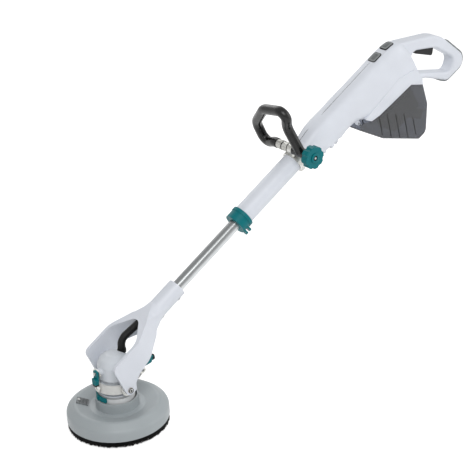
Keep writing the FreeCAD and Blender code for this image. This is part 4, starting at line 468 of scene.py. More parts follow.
@as_material
def abrasive_sheet(add, place):
    """Aluminium oxide on paper: sharp grit, tan with pale and dark grains, and a little dust."""
    # the real grit is 0.12 mm: it is drawn at 0.5 mm to show
    grit = add("ShaderNodeTexVoronoi", {"Vector": place, "Scale": 1 / (0.5 * MM)})
    share = add("ShaderNodeMapRange", {"Value": grit.outputs["Distance"], "From Min": 0.1,
                                       "From Max": 0.7})
    grains = add("ShaderNodeMix", {0: share, 6: opaque(linear("#C79E63")),
                                   7: opaque(linear("#6E4E2A"))}, data_type="RGBA")
    dusty = add("ShaderNodeMix", {0: clouds(add, place, 20, 0, 0.35, detail=6, start=0.5, end=0.75),
                                  6: grains.outputs[2], 7: opaque(linear("#D8D2C6"))}, data_type="RGBA")
    relief = add("ShaderNodeBump", {"Height": grit.outputs["Distance"], "Distance": 0.2 * MM})
    return {"Base Color": dusty.outputs[2], "Roughness": 0.85, "Normal": relief}


@as_material
def closed_foam(add, place, colour):
    """Closed-cell foam: dark, matt, with small open cells 0.8 mm across on its cut edge, each painted darker
    in its hollow as painted shade.
    """
    cells = add("ShaderNodeTexVoronoi", {"Vector": place, "Scale": 1 / (0.8 * MM)})
    return {**two_tone(add, cells.outputs["Distance"], shade(colour, 0.5), shade(colour, 1.5), 0.3),
            "Roughness": 0.95, "Specular IOR Level": 0.2}


@as_material
def bristle_nylon(add, place, colour):
    """Crimped nylon filament: black, with a painted sheen streak along each bristle."""
    # a painted sheen streak is about 1 mm wide and 25 mm long
    streaks = add("ShaderNodeMapping", {"Vector": place, "Scale": (1 / MM, 1 / MM, 0.04 / MM)})
    painted_sheen = add("ShaderNodeTexNoise", {"Vector": streaks, "Scale": 1.0, "Detail": 2.0})
    return {**two_tone(add, painted_sheen, shade(colour, 0.4), shade(colour, 2.2), 0.3),
            "Roughness": 0.55, "IOR": 1.53, "Specular IOR Level": 0.2}


@as_material
def laminated_steel(add, place, colour, sheet=1.0):
    """Stacked electrical steel: thin sheets with dark varnish between them."""
    sheets = add("ShaderNodeTexWave", {"Vector": place, "Scale": 1 / (sheet * MM) / FULL_TURN},
                 wave_type="BANDS", bands_direction="Z")
    return {**two_tone(add, sheets.outputs["Fac"], shade(colour, 0.5), colour, 0.1),
            "Metallic": 0.9, "Roughness": 0.4}


@as_material
def sintered_bronze(add, place):
    """Oil-soaked sintered bronze: warm and grainy."""
    _, skin = grained(add, place, 0.3, 0.6, 0.05)
    return {"Base Color": mottled(add, place, 0.6, linear("#8A6A38"), linear("#C79B58")),
            "Metallic": 1.0, "Roughness": clouds(add, place, 3, 0.38, 0.52), "Normal": skin}


@as_material
def circuit_board(add, place):
    """Glass-epoxy board: green solder mask over faint copper tracks 4 mm apart."""
    tracks = add("ShaderNodeTexBrick", {"Vector": place, "Scale": 1 / (4 * MM),
                                        "Color1": opaque(linear("#1E6B3A")),
                                        "Color2": opaque(linear("#1A5C33")),
                                        "Mortar": opaque(linear("#3C9157"))})
    relief = add("ShaderNodeBump", {"Height": tracks.outputs["Fac"], "Distance": 0.03 * MM})
    return {"Base Color": tracks.outputs["Color"], "Roughness": 0.35, "Coat Weight": 0.3,
            "Normal": relief}


@as_material
def bore_shade_and_seam(add, place):
    """Painted shade for the dark inside of a slot or socket, also the dark line of a seam, with a little dust
    in it.
    """
    return {"Base Color": mottled(add, place, 2.5, linear("#0B0B0C"), linear("#232221"), detail=5),
            "Roughness": clouds(add, place, 2.5, 0.7, 0.9), "Specular IOR Level": 0.2}


FINISHES = {}


def make_finishes():
    """Every finish of the sander, from the colours in its settings."""
    tint = colours()
    FINISHES.update({
        "pale_abs": moulded_plastic("pale_grey_abs_moulded", tint.body),
        "dome_abs": moulded_plastic("dome_grey_abs_moulded", tint.dome, roughness=0.46),
        "tube_paint": moulded_plastic("pale_grey_painted_tube", tint.body, roughness=0.34, grain=1.4,
                                      depth=0.02),
        "silver_abs": moulded_plastic("silver_grey_abs_moulded", tint.shroud, roughness=0.45, grain=0.9),
        "teal_nylon": moulded_plastic("teal_nylon_moulded", tint.accent, lift=1.35, gloss=0.18),
        "black_abs": moulded_plastic("black_abs_moulded", linear("#161617"), lift=1.8, gloss=0.25),
        "button_abs": moulded_plastic("button_grey_abs_moulded", linear("#7C8081"), roughness=0.5),
        "dark_grey_abs": moulded_plastic("dark_grey_abs_moulded", linear("#4B4F51"), roughness=0.5),
        "battery_abs": moulded_plastic("battery_black_nylon_moulded", linear("#1B1C1D"), roughness=0.55,
                                       grain=1.0, lift=1.6),
        "grip_rubber": soft_rubber("loop_grip_rubber_moulded", tint.grip, roughness=0.24, grain=1.6,
                                   depth=0.02, gloss=0.4),
        "black_rubber": soft_rubber("black_rubber_moulded", linear("#141414")),
        "grey_rubber": soft_rubber("grey_rubber_moulded", linear("#7F8385"), roughness=0.6),
        # the inner tube's side that faces POLE_UP gets the painted shade
        "tube_anodised": drawn_aluminium("inner_tube_aluminium_anodised", tint.tube, POLE_AXIS,
                                         POLE_UP),
        "plated": plated_steel("steel_zinc_plated", linear("#C9CBCB")),
        "pressed": plated_steel("steel_pressed_plated", linear("#D2D2CF"), roughness=0.36),
        "turned": turned_steel("steel_turned", linear("#BDBEC0")),
        "ground": turned_steel("steel_ground", linear("#CFCFD0"), roughness=0.14),
        "ring_paint": cast_aluminium("gimbal_aluminium_painted", linear("#D9D9D6"), metallic=0.0),
        "case_paint": cast_aluminium("gear_case_aluminium_painted", linear("#D5D7D8"), metallic=0.0),
        "cast": cast_aluminium("aluminium_die_cast", linear("#9A9C9E")),
        "smoke": smoked_polycarbonate("smoked_polycarbonate", tint.smoke),
        "abrasive": abrasive_sheet("abrasive_sheet_aluminium_oxide"),
        "grille": perforated_abs("grille_grey_abs_perforated", linear("#7D8183")),
        "foam": closed_foam("pad_foam_closed_cell", linear("#1E1E1F")),
        "bristle": bristle_nylon("brush_nylon_filament", tint.bristles),
        "laminated": laminated_steel("electrical_steel_laminated", linear("#77797C")),
        "bronze": sintered_bronze("bronze_sintered"),
        "board": circuit_board("circuit_board_glass_epoxy"),
        "bore": bore_shade_and_seam("bore_dark_dusty"),
    })


NODE_FINISHES = {
    "pale_abs": ("housing_left", "housing_right", "fork", "fork_cover", "cover_release"),
    "tube_paint": ("outer_tube",),
    "dome_abs": ("motor_housing",),
    "silver_abs": ("shroud",),
    "teal_nylon": ("collar", "tilt_lever", "swing_lever", "guard_catch", "clamp_knob"),
    "grille": ("vent_grille",),
    "black_abs": ("knob_hub", "trigger", "trigger_switch", "cooling_fan", "inner_guide",
                  "button_bezels", "terminal_block"),
    "button_abs": ("power_button", "speed_button"),
    "battery_abs": ("battery",),
    "dark_grey_abs": ("backing_plate", "tube_bush"),
    "grip_rubber": ("loop_handle",),
    "black_rubber": ("hose_upper", "hose_lower", "fork_gland", "hose_gland"),
    "grey_rubber": ("grip_bumper",),
    "tube_anodised": ("inner_tube",),
    "plated": ("case_screws", "swing_bolt", "roll_pins", "fork_bolts", "handle_bolt", "housing_screws",
               "hinge_pins", "pitch_bolts", "pad_screw"),
    "pressed": ("lock_quadrants", "grip_clamp", "handle_ferrules"),
    "turned": ("spindle", "gear_wheel", "drive_pinion"),
    "ground": ("bearings",),
    "ring_paint": ("gimbal_ring",),
    "case_paint": ("gear_case",),
    "cast": ("case_plate",),
    "smoke": ("battery_cover",),
    "abrasive": ("sanding_disc",),
    "foam": ("pad_foam",),
    "bristle": ("brush_skirt",),
    "laminated": ("stator", "rotor"),
    "bronze": ("pitch_bushes",),
    "board": ("control_boards",),
}


# ---------------------------------------------------------------- meshes


def add_object(name, data):
    """A new object of the scene, with its data."""
    piece = bpy.data.objects.new(name, data)
    bpy.context.scene.collection.objects.link(piece)
    return piece


def mesh_from(form, name):
    """Turns a bmesh into a mesh with its normals outward."""
    bmesh.ops.remove_doubles(form, verts=form.verts, dist=MM / 100)
    bmesh.ops.recalc_face_normals(form, faces=form.faces)
    mesh = bpy.data.meshes.new(name)
    form.to_mesh(mesh)
    form.free()
    return mesh


def coat(piece, finish):
    """Gives a piece one finish in place of any it has."""
    piece.data.materials.clear()
    piece.data.materials.append(FINISHES[finish])


def finish_piece(piece, finish, body, angle=SHARP_ANGLE):
    """Gives a piece its finish and smooth shading, and puts it on its body."""
    coat(piece, finish)
    for face in piece.data.polygons:
        face.use_smooth = True
    piece.data.set_sharp_from_angle(angle=math.radians(angle))
    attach(piece, body)


def rounded_block(length, width, height, corner):
    """A block centred on the origin with every edge rounded."""
    form = bmesh.new()
    bmesh.ops.create_cube(form, size=1)
    bmesh.ops.scale(form, vec=(length * MM, width * MM, height * MM), verts=form.verts)
    bmesh.ops.bevel(form, geom=form.edges, offset=corner * MM, segments=3, profile=0.5, affect="EDGES")
    return form


def lathe(profile, segments=96):
    """A closed ring turned round Z from (radius, height) points in millimetres."""
    form = bmesh.new()
    corners = [form.verts.new((radius * MM, 0, height * MM)) for radius, height in profile]
    edges = [form.edges.new((corners[i], corners[(i + 1) % len(corners)])) for i in range(len(corners))]
    bmesh.ops.spin(form, geom=corners + edges, cent=(0, 0, 0), axis=(0, 0, 1), angle=FULL_TURN,
                   steps=segments, use_merge=True)
    return form


def placed_piece(name, form, finish, body, place=Matrix()):
    """A finished piece whose shape is carried to its place."""
    mesh = mesh_from(form, name)
    mesh.transform(place)
    piece = add_object(name, mesh)
    finish_piece(piece, finish, body)
    return piece


def element(name, form):
    """A small shape that a node tree repeats."""
    piece = add_object(name, mesh_from(form, name))
    piece.hide_render = True
    return piece


def on_a_circle(add, line, angle, radius):
    """Carries the points of a line to a circle round Z, each at its own angle."""
    cosine = add("ShaderNodeMath", {0: angle}, operation="COSINE")
    sine = add("ShaderNodeMath", {0: angle}, operation="SINE")
    spot = add("ShaderNodeCombineXYZ",
               {"X": add("ShaderNodeMath", {0: cosine, 1: radius}, operation="MULTIPLY"),
                "Y": add("ShaderNodeMath", {0: sine, 1: radius}, operation="MULTIPLY")})
    return add("GeometryNodeSetPosition", {"Geometry": line, "Position": spot}), spot


def round_a_ring(add, given):
    """Repeats an element round Z: the element stands at +X and faces outward."""
    line = add("GeometryNodeMeshLine", {"Count": given["Count"], "Offset": (0, 0, 0)})
    index = add("GeometryNodeInputIndex")
    angle = add("ShaderNodeMath", {0: index, 1: given["Step"], 2: given["Start"]}, operation="MULTIPLY_ADD")
    placed, _ = on_a_circle(add, line, angle, given["Radius"])
    shape = add("GeometryNodeObjectInfo", {"Object": given["Element"]})
    return add("GeometryNodeInstanceOnPoints", {"Points": placed, "Instance": shape.outputs["Geometry"],
                                                "Rotation": add("ShaderNodeCombineXYZ", {"Z": angle})})


def in_a_row(add, given):
    """Repeats an element in a straight row."""
    line = add("GeometryNodeMeshLine", {"Count": given["Count"], "Offset": given["Step"]})
    shape = add("GeometryNodeObjectInfo", {"Object": given["Element"]})
    return add("GeometryNodeInstanceOnPoints", {"Points": line, "Instance": shape.outputs["Geometry"]})


def on_spots(add, given):
    """Repeats an element on the points of a mesh, turned as their own turn attribute says."""
    turn = add("GeometryNodeInputNamedAttribute", {"Name": "turn"}, data_type="FLOAT_VECTOR")
    shape = add("GeometryNodeObjectInfo", {"Object": given["Element"]})
    return add("GeometryNodeInstanceOnPoints",
               {"Points": given["Geometry"], "Instance": shape.outputs["Geometry"], "Rotation": turn})


def bead_along_lines(add, given):
    """Sweeps a round bead with closed ends along every line of a curve."""
    section = add("GeometryNodeCurvePrimitiveCircle", {"Resolution": 10, "Radius": given["Radius"]})
    return add("GeometryNodeCurveToMesh",
               {"Curve": given["Geometry"], "Profile Curve": section, "Fill Caps": True})


def brush_bristles(add, given):
    """Rows of tapered bristles round Z, ragged, and flared outward at their tips."""
    total = add("ShaderNodeMath", {0: given["Count"], 1: given["Rows"]}, operation="MULTIPLY")
    line = add("GeometryNodeMeshLine", {"Count": total, "Offset": (0, 0, 0)})
    index = add("GeometryNodeInputIndex")
    turns = add("ShaderNodeMath", {0: index, 1: given["Count"]}, operation="DIVIDE")
    row = add("ShaderNodeMath", {0: turns}, operation="FLOOR")
    # each row is turned a little past the last, so that the rows don't line up
    staggered = add("ShaderNodeMath", {0: row, 1: BRISTLE_ROW_STAGGER, 2: turns}, operation="MULTIPLY_ADD")
    angle = add("ShaderNodeMath", {0: staggered, 1: FULL_TURN}, operation="MULTIPLY")
    spacing = add("ShaderNodeMath", {0: given["Depth"], 1: given["Rows"]}, operation="DIVIDE")
    inward = add("ShaderNodeMath", {0: row, 1: spacing}, operation="MULTIPLY")
    radius = add("ShaderNodeMath", {0: given["Radius"], 1: inward}, operation="SUBTRACT")
    placed, spot = on_a_circle(add, line, angle, radius)
    ragged = add("FunctionNodeRandomValue", {2: BRISTLE_SHORTEST, 3: 1.0, "Seed": given["Seed"]},
                 data_type="FLOAT")
    tufts = add("ShaderNodeTexNoise", {"Vector": spot, "Scale": 1 / (TUFT_SIZE * MM), "Detail": 1.0})
    reach = add("ShaderNodeMapRange", {"Value": tufts, "From Min": 0.35, "From Max": 0.65,
                                       "To Min": TUFT_SHORTEST, "To Max": 1.0})
    tall = add("ShaderNodeMath", {0: ragged.outputs[1], 1: reach}, operation="MULTIPLY")
    lean = add("FunctionNodeRandomValue",
               {0: (-BRISTLE_SWAY, -BRISTLE_FLARE, 0), 1: (BRISTLE_SWAY, 0.0, 0), "Seed": given["Seed"]},
               data_type="FLOAT_VECTOR")
    facing = add("ShaderNodeVectorMath",
                 {0: lean.outputs[0], 1: add("ShaderNodeCombineXYZ", {"Z": angle})}, operation="ADD")
    tip = add("ShaderNodeMath", {0: given["Thickness"], 1: BRISTLE_TIP_SHARE}, operation="MULTIPLY")
    bristle = add("GeometryNodeMeshCone",
                  {"Vertices": 3, "Radius Top": tip, "Radius Bottom": given["Thickness"],
                   "Depth": given["Length"]})
    hanging = add("GeometryNodeTransform", {"Geometry": bristle, "Rotation": (math.pi, 0, 0)})
    scale = add("ShaderNodeCombineXYZ", {"X": 1.0, "Y": 1.0, "Z": tall})
    return add("GeometryNodeInstanceOnPoints",
               {"Points": placed, "Instance": hanging, "Rotation": facing, "Scale": scale})


# what fills each geometry tree, and the kinds of its inputs
TREE_KINDS = {
    "ring": (round_a_ring, {"Element": "Object", "Count": "Int", "Radius": "Float", "Start": "Float",
                            "Step": "Float"}),
    "row": (in_a_row, {"Element": "Object", "Count": "Int", "Step": "Vector"}),
    "spots": (on_spots, {"Element": "Object"}),
    "bead": (bead_along_lines, {"Radius": "Float"}),
    "bristles": (brush_bristles, {"Count": "Int", "Rows": "Int", "Radius": "Float", "Depth": "Float",
                                  "Length": "Float", "Thickness": "Float", "Seed": "Int"}),
}
TREES = {}


def geometry_tree(kind):
    """The geometry tree of a kind, made once. It ends in Realize Instances and Set Material."""
    if kind in TREES:
        return TREES[kind]
    fill, sockets = TREE_KINDS[kind]
    tree = bpy.data.node_groups.new(fill.__name__, "GeometryNodeTree")
    add = partial(add_node, tree)
    for socket, value in {"Geometry": "Geometry", **sockets, "Material": "Material"}.items():
        tree.interface.new_socket(socket, in_out="INPUT", socket_type="NodeSocket" + value)
    tree.interface.new_socket("Geometry", in_out="OUTPUT", socket_type="NodeSocketGeometry")
    given = add("NodeGroupInput").outputs
    solid = add("GeometryNodeRealizeInstances", {"Geometry": fill(add, given)})
    coloured = add("GeometryNodeSetMaterial", {"Geometry": solid, "Material": given["Material"]})
    add("NodeGroupOutput", {0: coloured})
    TREES[kind] = tree
    return tree


def grow(name, kind, values, finish, body, form=None, source=None, place=None, angle=SHARP_ANGLE):
    """Runs a geometry tree and finishes the plain mesh that it makes.

    The tree repeats the form, where there is one, and starts from the source or from nothing.
    """
    group = geometry_tree(kind)
    inputs = {**values, "Material": FINISHES[finish]}
    if form is not None:
        inputs["Element"] = element(name + "_one", form)
    seedling = source or add_object(name + "_seed", bpy.data.meshes.new(name + "_seed"))
    modifier = seedling.modifiers.new("repeat", "NODES")
    modifier.node_group = group
    for item in group.interface.items_tree:
        if item.in_out == "INPUT" and item.name in inputs:
            modifier[item.identifier] = inputs[item.name]
    bpy.context.view_layer.update()
    grown = seedling.evaluated_get(bpy.context.evaluated_depsgraph_get())
    mesh = bpy.data.meshes.new_from_object(grown)
    if place is not None:
        mesh.transform(place)
    mesh.name = name
    piece = add_object(name, mesh)
    bpy.data.objects.remove(seedling)
    if form is not None:
        bpy.data.objects.remove(inputs["Element"])
    if not mesh.polygons:
        raise RuntimeError(name + " has no faces")
    finish_piece(piece, finish, body, angle)


def grow_on_spots(name, form, spots, finish, body):
    """Repeats a form on spots, each of which is (place, outward direction)."""
    grow(name, "spots", {}, finish, body, form=form, source=spots_mesh(name + "_spots", spots))


def islands(node):
    """The corners of each separate solid in a CAD node."""
    form = bmesh.new()
    form.from_mesh(frame["nodes"][node].data)
    bmesh.ops.remove_doubles(form, verts=form.verts, dist=MM / 100)
    waiting = set(form.verts)
    found = []
    while waiting:
        group = [waiting.pop()]
        for vert in group:
            near = [edge.other_vert(vert) for edge in vert.link_edges]
            fresh = [other for other in near if other in waiting]
            waiting.difference_update(fresh)
            group.extend(fresh)
        found.append([vert.co.copy() for vert in group])
    form.free()
    return found


def screw_faces(node, direction, least=3.5):
    """Centre and radius of each round end that faces direction, where the radius is over least mm."""
    faces = []
    for corners in islands(node):
        top = max(corner.dot(direction) for corner in corners)
        rim = [corner for corner in corners if corner.dot(direction) > top - MM / 10]
        centre = sum(rim, Vector()) / len(rim)
        radius = max((corner - centre).length for corner in rim)
        if radius > least * MM:
            faces.append((centre, radius))
    return faces


def spots_mesh(name, spots):
    """A mesh of bare points: each is (place, outward direction)."""
    mesh = bpy.data.meshes.new(name)
    mesh.from_pydata([place for place, _ in spots], [], [])
    turns = mesh.attributes.new("turn", "FLOAT_VECTOR", "POINT")
    for item, (_, direction) in zip(turns.data, spots):
        item.vector = Vector((0, 0, 1)).rotation_difference(direction).to_euler()
    return add_object(name, mesh)


def lines_curve(name, lines):
    """A curve of straight runs, one spline for each line of points."""
    curve = bpy.data.curves.new(name, "CURVE")
    curve.dimensions = "3D"
    for points in lines:
        spline = curve.splines.new("POLY")
        spline.points.add(len(points) - 1)
        for knot, point in zip(spline.points, points):
            knot.co = (*point, 1)
    return add_object(name, curve)


# ---------------------------------------------------------------- operators


class SANDER_OT_finishes(bpy.types.Operator):
    """Gives every CAD piece its finish."""
    bl_idname = "sander.finishes"
    bl_label = "Finishes"

    def execute(self, context):
        make_finishes()
        for finish, nodes in NODE_FINISHES.items():
            for node in nodes:
                coat(frame["nodes"][node], finish)
        return {"FINISHED"}


class SANDER_OT_brush(bpy.types.Operator):
    """Makes the brush that hangs from the shroud's rim."""
    bl_idname = "sander.brush"
    bl_label = "Brush"

    def execute(self, context):
        low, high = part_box("brush_skirt")
        size = sizes()
        length = size.bristle_length
        # the roots stand in from the rim, so that the flared tips stay inside the CAD box
        grow("brush_bristles", "bristles",
             {"Count": size.bristle_count, "Rows": size.bristle_rows, "Seed": BRISTLE_SEED,
              "Radius": high.x - BRISTLE_ROOT_INSET * MM, "Depth": BRISTLE_DEPTH * MM,
              "Length": length, "Thickness": size.bristle_thickness},
             "bristle", "head", place=Matrix.Translation((0, 0, low.z + length)), angle=80)
        rim, inner = (high.x / MM - inset for inset in STRIP_INSETS)
        bottom, top = low.z / MM + STRIP_LIFT, high.z / MM
        profile = [(rim, bottom + 1), (rim, top), (inner, top), (inner, bottom), (rim - 1, bottom)]
        core = placed_piece("brush_strip", lathe(profile, 160), "bristle", "head")
        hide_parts("brush_skirt")
        return {"FINISHED"}


class SANDER_OT_hose(bpy.types.Operator):
    """Makes the ribs round the dust hose."""
    bl_idname = "sander.hose"
    bl_label = "Hose ribs"

    def execute(self, context):
        height = sizes().hose_rib_height / MM
        section = []
        for index in range(8):
            angle = FULL_TURN * index / 8
            section.append((HOSE_RADIUS - HOSE_RIB_SINK + height * math.cos(angle),
                            HOSE_RIB_HALF_WIDTH * math.sin(angle)))
        lower, upper = hose_spots()
        for name, body, spots in (("hose_lower", "head", lower), ("hose_upper", "fork", upper)):
            grow_on_spots(name + "_ribs", lathe(section, 28), spots, "black_rubber", body)
        return {"FINISHED"}


def hose_spots():
    """Where the hose's ribs stand: up from the dome, round the bend and along to the fork."""
    gland_low, gland_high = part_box("hose_gland")
    foot = Vector(((gland_low.x + gland_high.x) / 2, 0, gland_high.z))
    corner = Vector((foot.x, 0, HOSE_CORNER_HEIGHT * MM))
    end = pole_place(*HOSE_END)
    bend = HOSE_BEND_RADIUS * MM
    ahead = (end - corner).normalized()
    turn = Vector((0, 0, 1)).angle(ahead)
    tangent = bend * math.tan(turn / 2)
    start = corner - Vector((0, 0, tangent))
    centre = start + Vector((bend, 0, 0))
    rise = (start - foot).length
    sweep = bend * turn
    whole = rise + sweep + (end - corner).length - tangent
    pitch = sizes().hose_rib_pitch
    spots = [[], []]
    for index in range(1, int(whole / pitch)):
        along = index * pitch
        if along < rise:
            spot, way = foot + Vector((0, 0, along)), Vector((0, 0, 1))
        elif along < rise + sweep:
            angle = (along - rise) / bend
            spot = centre + Vector((-math.cos(angle), 0, math.sin(angle))) * bend
            way = Vector((math.sin(angle), 0, math.cos(angle)))
        else:
            way = ahead
            spot = corner + ahead * (tangent + along - rise - sweep)
        spots[along > rise + sweep / 2].append((spot, way))
    return spots


class SANDER_OT_screws(bpy.types.Operator):
    """Makes the domed heads and drive sockets of the screws."""
    bl_idname = "sander.screws"
    bl_label = "Screw heads"

    def execute(self, context):
        for node, body, direction in (("housing_screws", "housing", ACROSS),
                                      ("fork_bolts", "fork", -POLE_UP)):
            faces = screw_faces(node, direction)
            if not faces:
                raise RuntimeError("no screw heads on " + node)
            spots = [(spot, direction) for spot, _ in faces]
            radius = min(size for _, size in faces) / MM
            pit = radius * SOCKET_SHARE
            dome = lathe([(pit, -0.8), (radius, 0), (radius * 0.97, 0.35), (radius * 0.75, 0.8),
                          (pit, 0.95)], 24)
            grow_on_spots(node + "_domes", dome, spots, "plated", body)
            # the drive socket is a thin dark disc of painted shade in the head's pit
            socket = lathe([(0, 0.05), (pit * 1.05, 0.05), (pit * 1.05, 0.12), (0, 0.12)], 6)
            grow_on_spots(node + "_sockets", socket, spots, "bore", body)
        return {"FINISHED"}


class SANDER_OT_head(bpy.types.Operator):
    """Makes the motor's vents, the levers' ribs and tips, the tilt rail and the bolts' sockets."""
    bl_idname = "sander.head"
    bl_label = "Head details"

    def execute(self, context):
        self.vents()
        self.swing_lever()
        self.tilt_lever()
        self.rail()
        self.bolt_sockets()
        return {"FINISHED"}

    def vents(self):
        """Slots round the dome's +X side, and a few on its -Y side, drawn as dark blocks of painted shade on
        the dome.
        """
        _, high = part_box("motor_housing")
        count = sizes().vent_count
        for name, block, number, step, start in (
                ("motor_vents", rounded_block(1.4, 2.2, 16, 0.6), count, VENT_STEP,
                 -VENT_STEP / 2 * (count - 1)),
                ("motor_inlets", rounded_block(1.4, 2.4, 9, 0.6), INLET_COUNT, INLET_STEP, INLET_START)):
            grow(name, "ring", {"Count": number, "Radius": VENT_RADIUS * MM, "Step": math.radians(step),
                                "Start": math.radians(start)}, "bore", "head", form=block,
                 place=Matrix.Translation((0, 0, high.z - VENT_DROP * MM)))

    def swing_lever(self):
        """Ribs across the swing lever, and its dark tip."""
        low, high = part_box("swing_lever")
        middle = (low.y + high.y) / 2
        grow("swing_lever_ribs", "row",
             {"Count": sizes().lever_rib_count, "Step": (0, 0, LEVER_RIB_STEP * MM)},
             "teal_nylon", "swing_lever",
             form=rounded_block(1.4, (high.y - low.y) / MM - 5, 1.4, 0.6),
             place=Matrix.Translation((low.x, middle, low.z + LEVER_RIB_LIFT * MM)))
        spot = Matrix.Translation(((low.x + high.x) / 2, middle, low.z + LEVER_TIP_LIFT * MM))
        placed_piece("swing_lever_tip", rounded_block(10.8, 13.5, 5, 1.2), "black_abs", "swing_lever",
                     spot)

    def tilt_lever(self):
        """A thick paddle and a dark tip, along the tilt lever from its bolt."""
        low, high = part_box("tilt_lever")
        lean = math.radians(TILT_LEVER_LEAN)
        for name, finish, reach, drop, block in TILT_LEVER_ENDS:
            spot = pole_matrix(TILT_BOLT_ALONG + reach * math.cos(lean), (low.y + high.y) / 2 / MM,
                               TILT_BOLT_UP - drop - reach * math.sin(lean))
            placed_piece(name, rounded_block(*block), finish, "tilt_lever",
                         spot @ Matrix.Rotation(lean, 4, "Y"))

    def rail(self):
        """A curved rail that stands on the gimbal ring."""
        low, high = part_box("gimbal_ring")
        pivot = (low.z + high.z) / 2
        across, radius = RAIL_ACROSS * MM, RAIL_RADIUS * MM
        arc = [Vector((radius * math.cos(math.radians(angle)), across,
                       pivot + radius * math.sin(math.radians(angle)))) for angle in RAIL_ANGLES]
        foot = Vector((RAIL_FOOT_OUT * MM, across, pivot + RAIL_FOOT_LIFT * MM))
        grow("tilt_rail", "bead", {"Radius": RAIL_HALF_WIDTH * MM}, "ring_paint", "gimbal",
             source=lines_curve("tilt_rail_line", [[foot, *arc]]))

    def bolt_sockets(self):
        """The dark ring round each pitch bolt's head, and its socket as a thin dark disc of painted shade."""
        low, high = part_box("pitch_bolts")
        middle = (low + high) / 2
        spots = [(Vector((middle.x, low.y, middle.z)), -ACROSS),
                 (Vector((middle.x, high.y, middle.z)), ACROSS)]
        ring = lathe([(5, -1), (6.6, -1), (6.6, 0.3), (5, 0.3)], 32)
        grow_on_spots("pitch_bolt_washers", ring, spots, "black_rubber", "gimbal")
        socket = lathe([(0, 0), (2.6, 0), (2.6, 0.15), (0, 0.15)], 6)
        grow_on_spots("pitch_bolt_sockets", socket, spots, "bore", "gimbal")


class SANDER_OT_handle(bpy.types.Operator):
    """Makes the ferrules' knurls and seals, and the knob's cap and bolt end."""
    bl_idname = "sander.handle"
    bl_label = "Handle details"

    def execute(self, context):
        low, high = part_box("handle_ferrules")
        centre = (low + high) / 2
        count = sizes().knurl_count
        length = (high.y - low.y) / 2 / MM
        for index, name in enumerate(("first", "second")):
            middle = Vector((centre.x, low.y + (index + 0.5) * length * MM, centre.z))
            grow("ferrule_knurls_" + name, "ring",
                 {"Count": count, "Radius": (high.z - low.z) / 2, "Start": 0.0, "Step": FULL_TURN / count},
                 "pressed", "front_handle",
                 form=rounded_block(0.6, 0.6, length - 4, 0.2),
                 place=frame_matrix(middle, POLE_AXIS, -POLE_UP, ACROSS))
        ends = [(Vector((centre.x, low.y + share * (high.y - low.y), centre.z)), ACROSS)
                for share in SEAL_SHARES]
        grow_on_spots("ferrule_seals", lathe(SEAL_PROFILE, 48), ends, "black_rubber", "front_handle")
        low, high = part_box("knob_hub")
        face = Vector(((low.x + high.x) / 2, low.y, (low.z + high.z) / 2))
        outward = frame_matrix(face, POLE_AXIS, POLE_UP, -ACROSS)
        placed_piece("knob_cap", lathe(KNOB_CAP_PROFILE, 48), "teal_nylon", "knob", outward)
        placed_piece("knob_bolt_end", lathe(KNOB_BOLT_PROFILE, 24), "case_paint", "knob",
                     outward)
        return {"FINISHED"}


class SANDER_OT_housing(bpy.types.Operator):
    """Makes the housing's seam, the cover's louvres, the battery's end and the buttons' ribs."""
    bl_idname = "sander.housing"
    bl_label = "Housing details"

    def execute(self, context):
        self.seam()
        self.louvres()
        self.battery_end()
        self.button_ribs()
        return {"FINISHED"}

    def button_ribs(self):
        """Raised ribs across both buttons."""
        for node, tilt in BUTTON_TILTS.items():
            turn = math.radians(tilt)
            normal = POLE_UP * math.cos(turn) + POLE_AXIS * math.sin(turn)
            along = POLE_AXIS * math.cos(turn) - POLE_UP * math.sin(turn)
            spot = screw_faces(node, normal)[0][0]
            first = spot - along * BUTTON_RIB_REACH * MM
            grow(node + "_ribs", "row", {"Count": BUTTON_RIB_COUNT, "Step": (BUTTON_RIB_STEP * MM, 0, 0)},
                 "dark_grey_abs", node, form=rounded_block(1.1, 13, 1, 0.35),
                 place=frame_matrix(first, along, ACROSS, normal))

    def seam(self):
        """A dark bead along the housing's top, where its two halves meet."""
        line = [pole_place(along, 0, up) for along, up in SEAM_LINE]
        grow("housing_seam", "bead", {"Radius": sizes().seam_radius}, "bore", "housing",
             source=lines_curve("seam_line", [line]))

    def louvres(self):
        """Slots in both sides of the battery cover, drawn as dark beads of painted shade. The first and the
        last are shorter.
        """
        low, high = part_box("battery_cover")
        count = sizes().louvre_count
        radius = sizes().louvre_radius
        lean = math.radians(LOUVRE_LEAN)
        lines = []
        for side in (low.y + radius * LOUVRE_SINK, high.y - radius * LOUVRE_SINK):
            for index in range(count):
                half = LOUVRE_SHORT_HALF_LENGTH if index in (0, count - 1) else LOUVRE_HALF_LENGTH
                along = LOUVRE_START[0] + LOUVRE_STEP * index
                up = LOUVRE_START[1] - LOUVRE_STEP * index
                reach = (half * math.sin(lean), half * math.cos(lean))
                lines.append([pole_place(along + reach[0], side / MM, up + reach[1]),
                              pole_place(along - reach[0], side / MM, up - reach[1])])
        grow("cover_louvres", "bead", {"Radius": radius}, "bore", "battery_cover",
             source=lines_curve("louvre_lines", lines))

    def battery_end(self):
        """A rounded block at the battery's end."""
        low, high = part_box("battery")
        turn = Matrix.Rotation(math.radians(BATTERY_END_TURN), 4, "Y")
        placed_piece("battery_end", rounded_block(56, (high.y - low.y) / MM, 28, 4), "battery_abs",
                     "housing", pole_matrix(*BATTERY_END_PLACE) @ turn)


